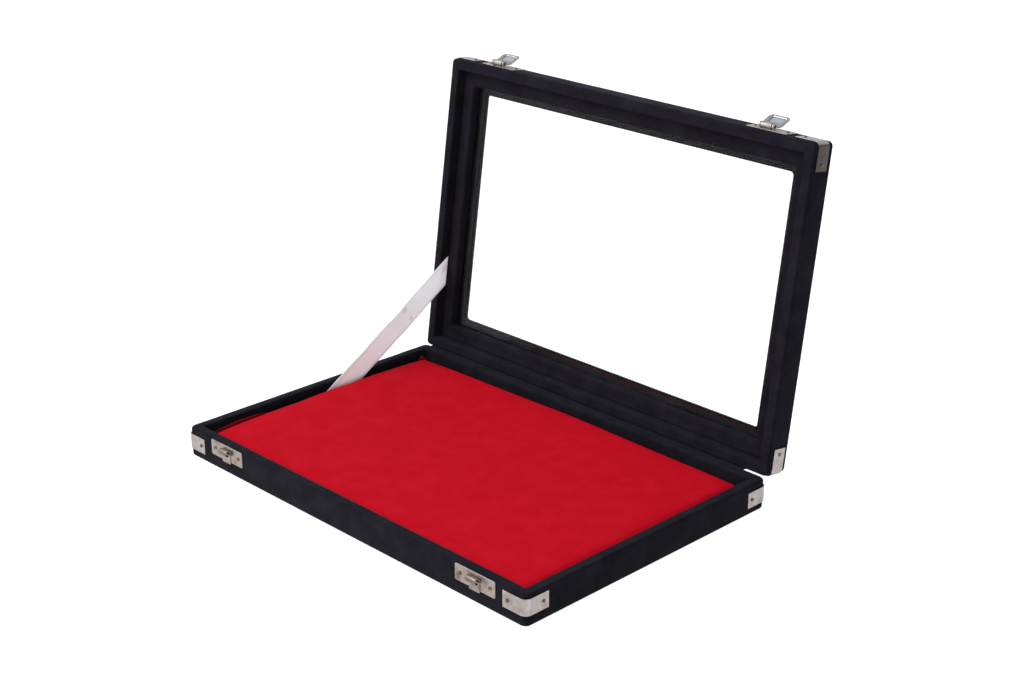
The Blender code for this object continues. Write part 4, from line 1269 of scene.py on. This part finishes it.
def nail_points(place, outward):
    """A turned nail: its profile of (radius, height) points carried round its own axis, which runs
    outwards from its place on the wall."""
    turn = np.linspace(0, 2 * np.pi, NAIL_SIDES, endpoint=False)[:, None]
    across = np.cross((0, 0, 1), outward)
    radius, height = nail_profile[:, 0], nail_profile[:, 1]
    flat = (radius * np.cos(turn))[..., None] * across + (radius * np.sin(turn))[..., None] * (0, 0, 1)
    return np.array(place) + flat + height[:, None] * np.array(outward, float)


for name in [node for node in nodes if "_nail_" in node]:
    on_lid = name.startswith(("lid", "hasp"))
    low, high = shut_box(name) if on_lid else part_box(name)
    place = (np.array(low) + np.array(high)) / 2
    gap = CASE_HALF_LENGTH - abs(place[0]), CASE_HALF_DEPTH - abs(place[1])
    axis = int(gap[1] < gap[0])
    outward = np.zeros(3)
    outward[axis] = np.sign(place[axis])
    place[axis] = outward[axis] * (CASE_HALF_LENGTH, CASE_HALF_DEPTH)[axis]
    points = nail_points(place, outward)
    faces = block_faces(*points.shape[:2])
    nail = make_piece(name + "_turned", opened(points) if on_lid else points, faces, brass_nail)
    crease(nail, 50)
    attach(nail, "lid" if on_lid else "base")
    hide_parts(name)


# Cloth hinge ----------------------------------------------------------------------------------------
# A strip of black cloth is glued along the back of the base and of the lid. It bends in the notch
# between them. At the left only a narrow ear of it runs on between the straps, and at the right it
# stops short of them.

HINGE_CLOTH = 0.0005
HINGE_LEAF = 0.0115
HINGE_FOLD = 0.00025
HINGE_LOW_X = -CASE_HALF_LENGTH + 0.005
HINGE_FULL_X = -CASE_HALF_LENGTH + STRAP_LEG + 0.0003
HINGE_HIGH_X = CASE_HALF_LENGTH - STRAP_LEG - 0.0003
HINGE_OUT = METAL_GAP + HINGE_CLOTH / 2
HINGE_STEP = 0.0022

hinge_weave, tree, shader = new_material("hinge_weave")
cloth_place = tree.nodes.new("ShaderNodeUVMap").outputs["UV"]
warp, weft = (
    add_node(tree, "ShaderNodeTexWave", {"bands_direction": way}, Vector=cloth_place, Scale=420.0)
    for way in "XY"
)
threads = maths(tree, "MULTIPLY", warp.outputs["Fac"], weft.outputs["Fac"])
faded = spread(tree, noise(tree, cloth_place, 90, 4.0), 0.4, 0.7)
dye = blend_colour(tree, faded, (0.008, 0.008, 0.011, 1), (0.02, 0.02, 0.026, 1))
tree.links.new(blend_colour(tree, threads, (0.005, 0.005, 0.007, 1), dye), shader.inputs["Base Color"])
tree.links.new(spread(tree, threads, 0, 1, 0.95, 0.75), shader.inputs["Roughness"])
add_relief(tree, shader, threads, 0.5, 0.00015)
shader.inputs["Specular IOR Level"].default_value = 0.2

room_to_straps = [
    room
    for side in ("left", "right")
    for room in (
        BASE_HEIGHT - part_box("base_strap_back_" + side)[1].z,
        shut_box("lid_strap_back_" + side)[0][2] - LID_FLOOR,
    )
]
HINGE_EAR = min(room_to_straps) - METAL_GAP
notch = (1 - math.cos(OPEN_TURN)) / math.sin(OPEN_TURN)


def hinge_surface():
    """Middle surface of the cloth with the lid open. Columns run along the case, and each goes up
    the base's back, round the fold and up the lid's back for as far as the leaf reaches there."""
    x = np.concatenate([
        np.linspace(HINGE_LOW_X, HINGE_FULL_X - 0.0002, 7),
        np.arange(HINGE_FULL_X, HINGE_HIGH_X, HINGE_STEP),
        [HINGE_HIGH_X],
    ])
    uneven_cut = ripple(np.stack([x, 0 * x, 0 * x], 1), 0.0003, 0.05, 8)
    reach = np.where(x < HINGE_FULL_X, HINGE_EAR, HINGE_LEAF + uneven_cut)
    share = np.linspace(1, 0, 9)[:-1]
    leaf = reach[:, None] * share + HINGE_FOLD
    base_leg = np.stack([x[:, None] + 0 * leaf, HINGE_Y + HINGE_OUT + 0 * leaf, HINGE_Z - leaf], -1)
    lid_shut = np.stack([x[:, None] + 0 * leaf, HINGE_Y + HINGE_OUT + 0 * leaf, HINGE_Z + leaf], -1)
    lid_leg = opened(lid_shut)[:, ::-1]
    fold = np.stack([
        x, np.full(len(x), HINGE_Y + HINGE_OUT), np.full(len(x), HINGE_Z - notch * HINGE_OUT)
    ], -1)[:, None]
    return np.concatenate([base_leg, fold, lid_leg], 1)


hinge_middle = hinge_surface()
points, faces = slab(hinge_middle, HINGE_CLOTH)
hinge_cloth = make_piece("hinge_cloth_strip", points, faces, hinge_weave, grid_uv(hinge_middle))
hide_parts("hinge_cloth")
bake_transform(hinge_cloth)


# Ribbon stay ----------------------------------------------------------------------------------------
# A white satin ribbon is tucked in beside the pad and behind the bead on the left. It holds the lid
# a little past upright. It is creased across and has three tan stains, and its foot is painted faintly
# red: a painted reflection of light bounced off the red pad.
# STAINS are (across, along, radius) and FOLD_LINES (along, slant) on the flat ribbon.

RIBBON_WIDTH = 0.016
RIBBON_THICKNESS = 0.0003
RIBBON_ROWS = 110
RIBBON_COLUMNS = 17
RIBBON_BOW = 0.0005
RIBBON_FOOT_FORWARD = 0.0962
RIBBON_FOOT_RISE = 0.0012
RIBBON_TOP_FORWARD = 0.0547
RIBBON_TOP_GAP = 0.0003
SELVEDGE = 0.0011
STAINS = (0.005, 0.0853, 0.0030), (-0.0045, 0.0862, 0.0023), (0.004, 0.1265, 0.0042)
FOLD_LINES = (0.034, 0.3), (0.058, -0.35), (0.085, 0.25), (0.101, -0.2), (0.118, 0.5)
FOLD_LINE_WIDTH = 0.0016

white_satin, tree, shader = new_material("white_satin")
cloth_place = tree.nodes.new("ShaderNodeUVMap").outputs["UV"]
floats = add_node(tree, "ShaderNodeMapping", Vector=cloth_place, Scale=(1.0, 0.12, 1.0))
threads = noise(tree, floats.outputs[0], 5200, 1.0)
drawn_out = add_node(tree, "ShaderNodeMapping", Vector=cloth_place, Scale=(1.0, 0.35, 1.0))
creases = noise(tree, drawn_out.outputs[0], 170, 3.0)
across = add_node(tree, "ShaderNodeSeparateXYZ", Vector=cloth_place)
near_edge = maths(tree, "ABSOLUTE", across.outputs["X"])
selvedge = spread(tree, near_edge, RIBBON_WIDTH / 2 - SELVEDGE, RIBBON_WIDTH / 2 - SELVEDGE + 0.0004)
soiled = spread(tree, noise(tree, cloth_place, 60, 4.0, 0.6), 0.45, 0.8)
satin = blend_colour(tree, soiled, (0.94, 0.98, 0.975, 1), (0.90, 0.90, 0.895, 1))
stains = spread(tree, noise(tree, cloth_place, 130, 2.0, 0.5), 0.72, 0.8, 0.0, 0.45)
satin = blend_colour(tree, stains, satin, (0.74, 0.62, 0.52, 1))
for spot_x, spot_y, spot_radius in STAINS:
    beside = maths(tree, "POWER", maths(tree, "SUBTRACT", across.outputs["X"], spot_x), 2)
    beyond = maths(tree, "POWER", maths(tree, "SUBTRACT", across.outputs["Y"], spot_y), 2)
    spot = spread(tree, maths(tree, "ADD", beside, beyond), 0, spot_radius ** 2, 0.6, 0.0)
    satin = blend_colour(tree, spot, satin, (0.70, 0.58, 0.49, 1))
# Painted reflection: the foot is tinted faintly red for light bounced off the red pad.
painted_red_bounce = spread(tree, across.outputs["Y"], 0.0, 0.07, 0.7, 0.0)
satin = blend_colour(tree, painted_red_bounce, satin, (0.78, 0.68, 0.68, 1))
folds = 0.0
for fold_y, slant in FOLD_LINES:
    past = maths(tree, "MULTIPLY", across.outputs["X"], slant)
    past = maths(tree, "SUBTRACT", maths(tree, "ADD", across.outputs["Y"], past), fold_y)
    fold = spread(tree, maths(tree, "ABSOLUTE", past), 0, FOLD_LINE_WIDTH)
    folds = maths(tree, "ADD", fold, folds)
satin = blend_colour(tree, maths(tree, "MULTIPLY", selvedge, 0.25), satin, (0.5, 0.46, 0.47, 1))
tree.links.new(satin, shader.inputs["Base Color"])
tree.links.new(spread(tree, threads, 0.3, 0.7, 0.35, 0.5), shader.inputs["Roughness"])
height = selvedge
for part, share in ((threads, 0.25), (creases, 2.2), (folds, 0.9)):
    height = maths(tree, "ADD", height, maths(tree, "MULTIPLY", part, share))
add_relief(tree, shader, height, 0.5, 0.0002)
shader.inputs["Sheen Weight"].default_value = 0.3
shader.inputs["Sheen Roughness"].default_value = 0.3

ribbon_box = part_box("ribbon_stay")
ribbon_x = (ribbon_box[0].x + ribbon_box[1].x) / 2
foot = np.array([HINGE_Y - RIBBON_FOOT_FORWARD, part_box("base_panel")[1].z + RIBBON_FOOT_RISE])
top = opened(np.array([0, HINGE_Y - RIBBON_TOP_FORWARD, BEAD_LOW - RIBBON_TOP_GAP]))[1:]
along = (top - foot) / np.linalg.norm(top - foot)
level_half = np.array([RIBBON_WIDTH / 2 / along[1], 0])
lid_slope = opened(np.array([0, HINGE_Y - 1, HINGE_Z]))[1:] - (HINGE_Y, HINGE_Z)
rise_half = lid_slope * RIBBON_WIDTH / 2 / abs(along[0] * lid_slope[1] - along[1] * lid_slope[0])


def ribbon_surface():
    """Middle surface of the ribbon. Columns run between the foot's and the top's corners. It bows
    towards the inside as a half sine wave once it is clear of the base's wall, with soft creases."""
    share = np.linspace(0, 1, RIBBON_ROWS)[:, None, None]
    side = np.linspace(-1, 1, RIBBON_COLUMNS)[None, :, None]
    start = foot + side * -level_half
    finish = top + side * rise_half
    places = start * (1 - share) + finish * share
    free = np.clip((share[..., 0] - 0.22) / 0.73, 0, 1) + 0 * side[..., 0]
    bow = np.sin(np.pi * free) ** 2 * RIBBON_BOW * (0.45 + 0.55 * side[..., 0] ** 2)
    x = ribbon_x + bow
    middle = np.concatenate([x[..., None], places], -1)
    soft = np.sin(np.pi * free) * ripple(middle, 0.0005, 0.03, 31)
    middle[..., 0] += np.maximum(soft, -0.5 * bow)
    return middle


ribbon_middle = ribbon_surface()
points, faces = slab(ribbon_middle, RIBBON_THICKNESS)
ribbon = make_piece("ribbon_stay_satin", points, faces, white_satin, grid_uv(ribbon_middle))
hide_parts("ribbon_stay")
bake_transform(ribbon)


# Wooden rails, boards and lining --------------------------------------------------------------------
# The rails are pale softwood, the bottom and the window's board hardboard, and the pad stands on grey
# card. Black paper covers the underside inside the velvet's folded edge.

def plain_material(name, colours, scale, stretch, roughness, depth):
    """Three colours mixed by noise stretched along X or Y or evenly, with the same noise as relief."""
    made, tree, shader = new_material(name)
    drawn = add_node(tree, "ShaderNodeMapping", Vector=object_place(tree), Scale=stretch).outputs[0]
    coarse = noise(tree, drawn, scale, 5.0, 0.62)
    fine = noise(tree, drawn, scale * 7, 3.0, 0.6)
    colour = blend_colour(tree, spread(tree, coarse, 0.3, 0.7), (*colours[0], 1), (*colours[1], 1))
    flecks = spread(tree, fine, 0.55, 0.75, 0.0, 0.7)
    colour = blend_colour(tree, flecks, colour, (*colours[2], 1))
    tree.links.new(colour, shader.inputs["Base Color"])
    tree.links.new(spread(tree, fine, 0.3, 0.7, roughness, roughness + 0.15), shader.inputs["Roughness"])
    add_relief(tree, shader, maths(tree, "ADD", coarse, fine), 0.4, depth)
    shader.inputs["Specular IOR Level"].default_value = 0.3
    return made


softwood_colours = (0.46, 0.30, 0.17), (0.36, 0.21, 0.11), (0.24, 0.13, 0.06)
softwood_along_x = plain_material("softwood_x", softwood_colours, 260, (0.05, 1, 1), 0.6, 0.0001)
softwood_along_y = plain_material("softwood_y", softwood_colours, 260, (1, 0.05, 1), 0.6, 0.0001)
hardboard = plain_material(
    "hardboard", ((0.16, 0.09, 0.05), (0.21, 0.13, 0.075), (0.09, 0.05, 0.03)), 500, (1, 1, 1),
    0.7, 0.00008,
)
black_board = plain_material(
    "black_board", ((0.007, 0.007, 0.009), (0.012, 0.012, 0.014), (0.02, 0.02, 0.022)), 500,
    (1, 1, 1), 0.8, 0.00008,
)
black_paper = plain_material(
    "black_paper", ((0.014, 0.014, 0.016), (0.02, 0.02, 0.022), (0.034, 0.034, 0.036)), 420,
    (1, 1, 1), 0.75, 0.00006,
)
grey_card = plain_material(
    "grey_card", ((0.30, 0.28, 0.25), (0.36, 0.34, 0.30), (0.22, 0.20, 0.18)), 700, (1, 1, 1),
    0.85, 0.00006,
)
hidden_finishes = {
    "base_panel": (hardboard, "hardboard"),
    "lid_window_board": (black_board, "hardboard"),
    "underside_lining": (black_paper, "black_paper"),
    "pad_card": (grey_card, "grey_card"),
}
for body in ("base", "lid"):
    for side in ("front", "back"):
        hidden_finishes[f"{body}_{side}_rail"] = (softwood_along_x, "wood")
    for side in ("left", "right"):
        hidden_finishes[f"{body}_{side}_rail"] = (softwood_along_y, "wood")
for name, (finish, slot_name) in hidden_finishes.items():
    nodes[name].data.materials.clear()
    nodes[name].data.materials.append(finish)

low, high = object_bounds()
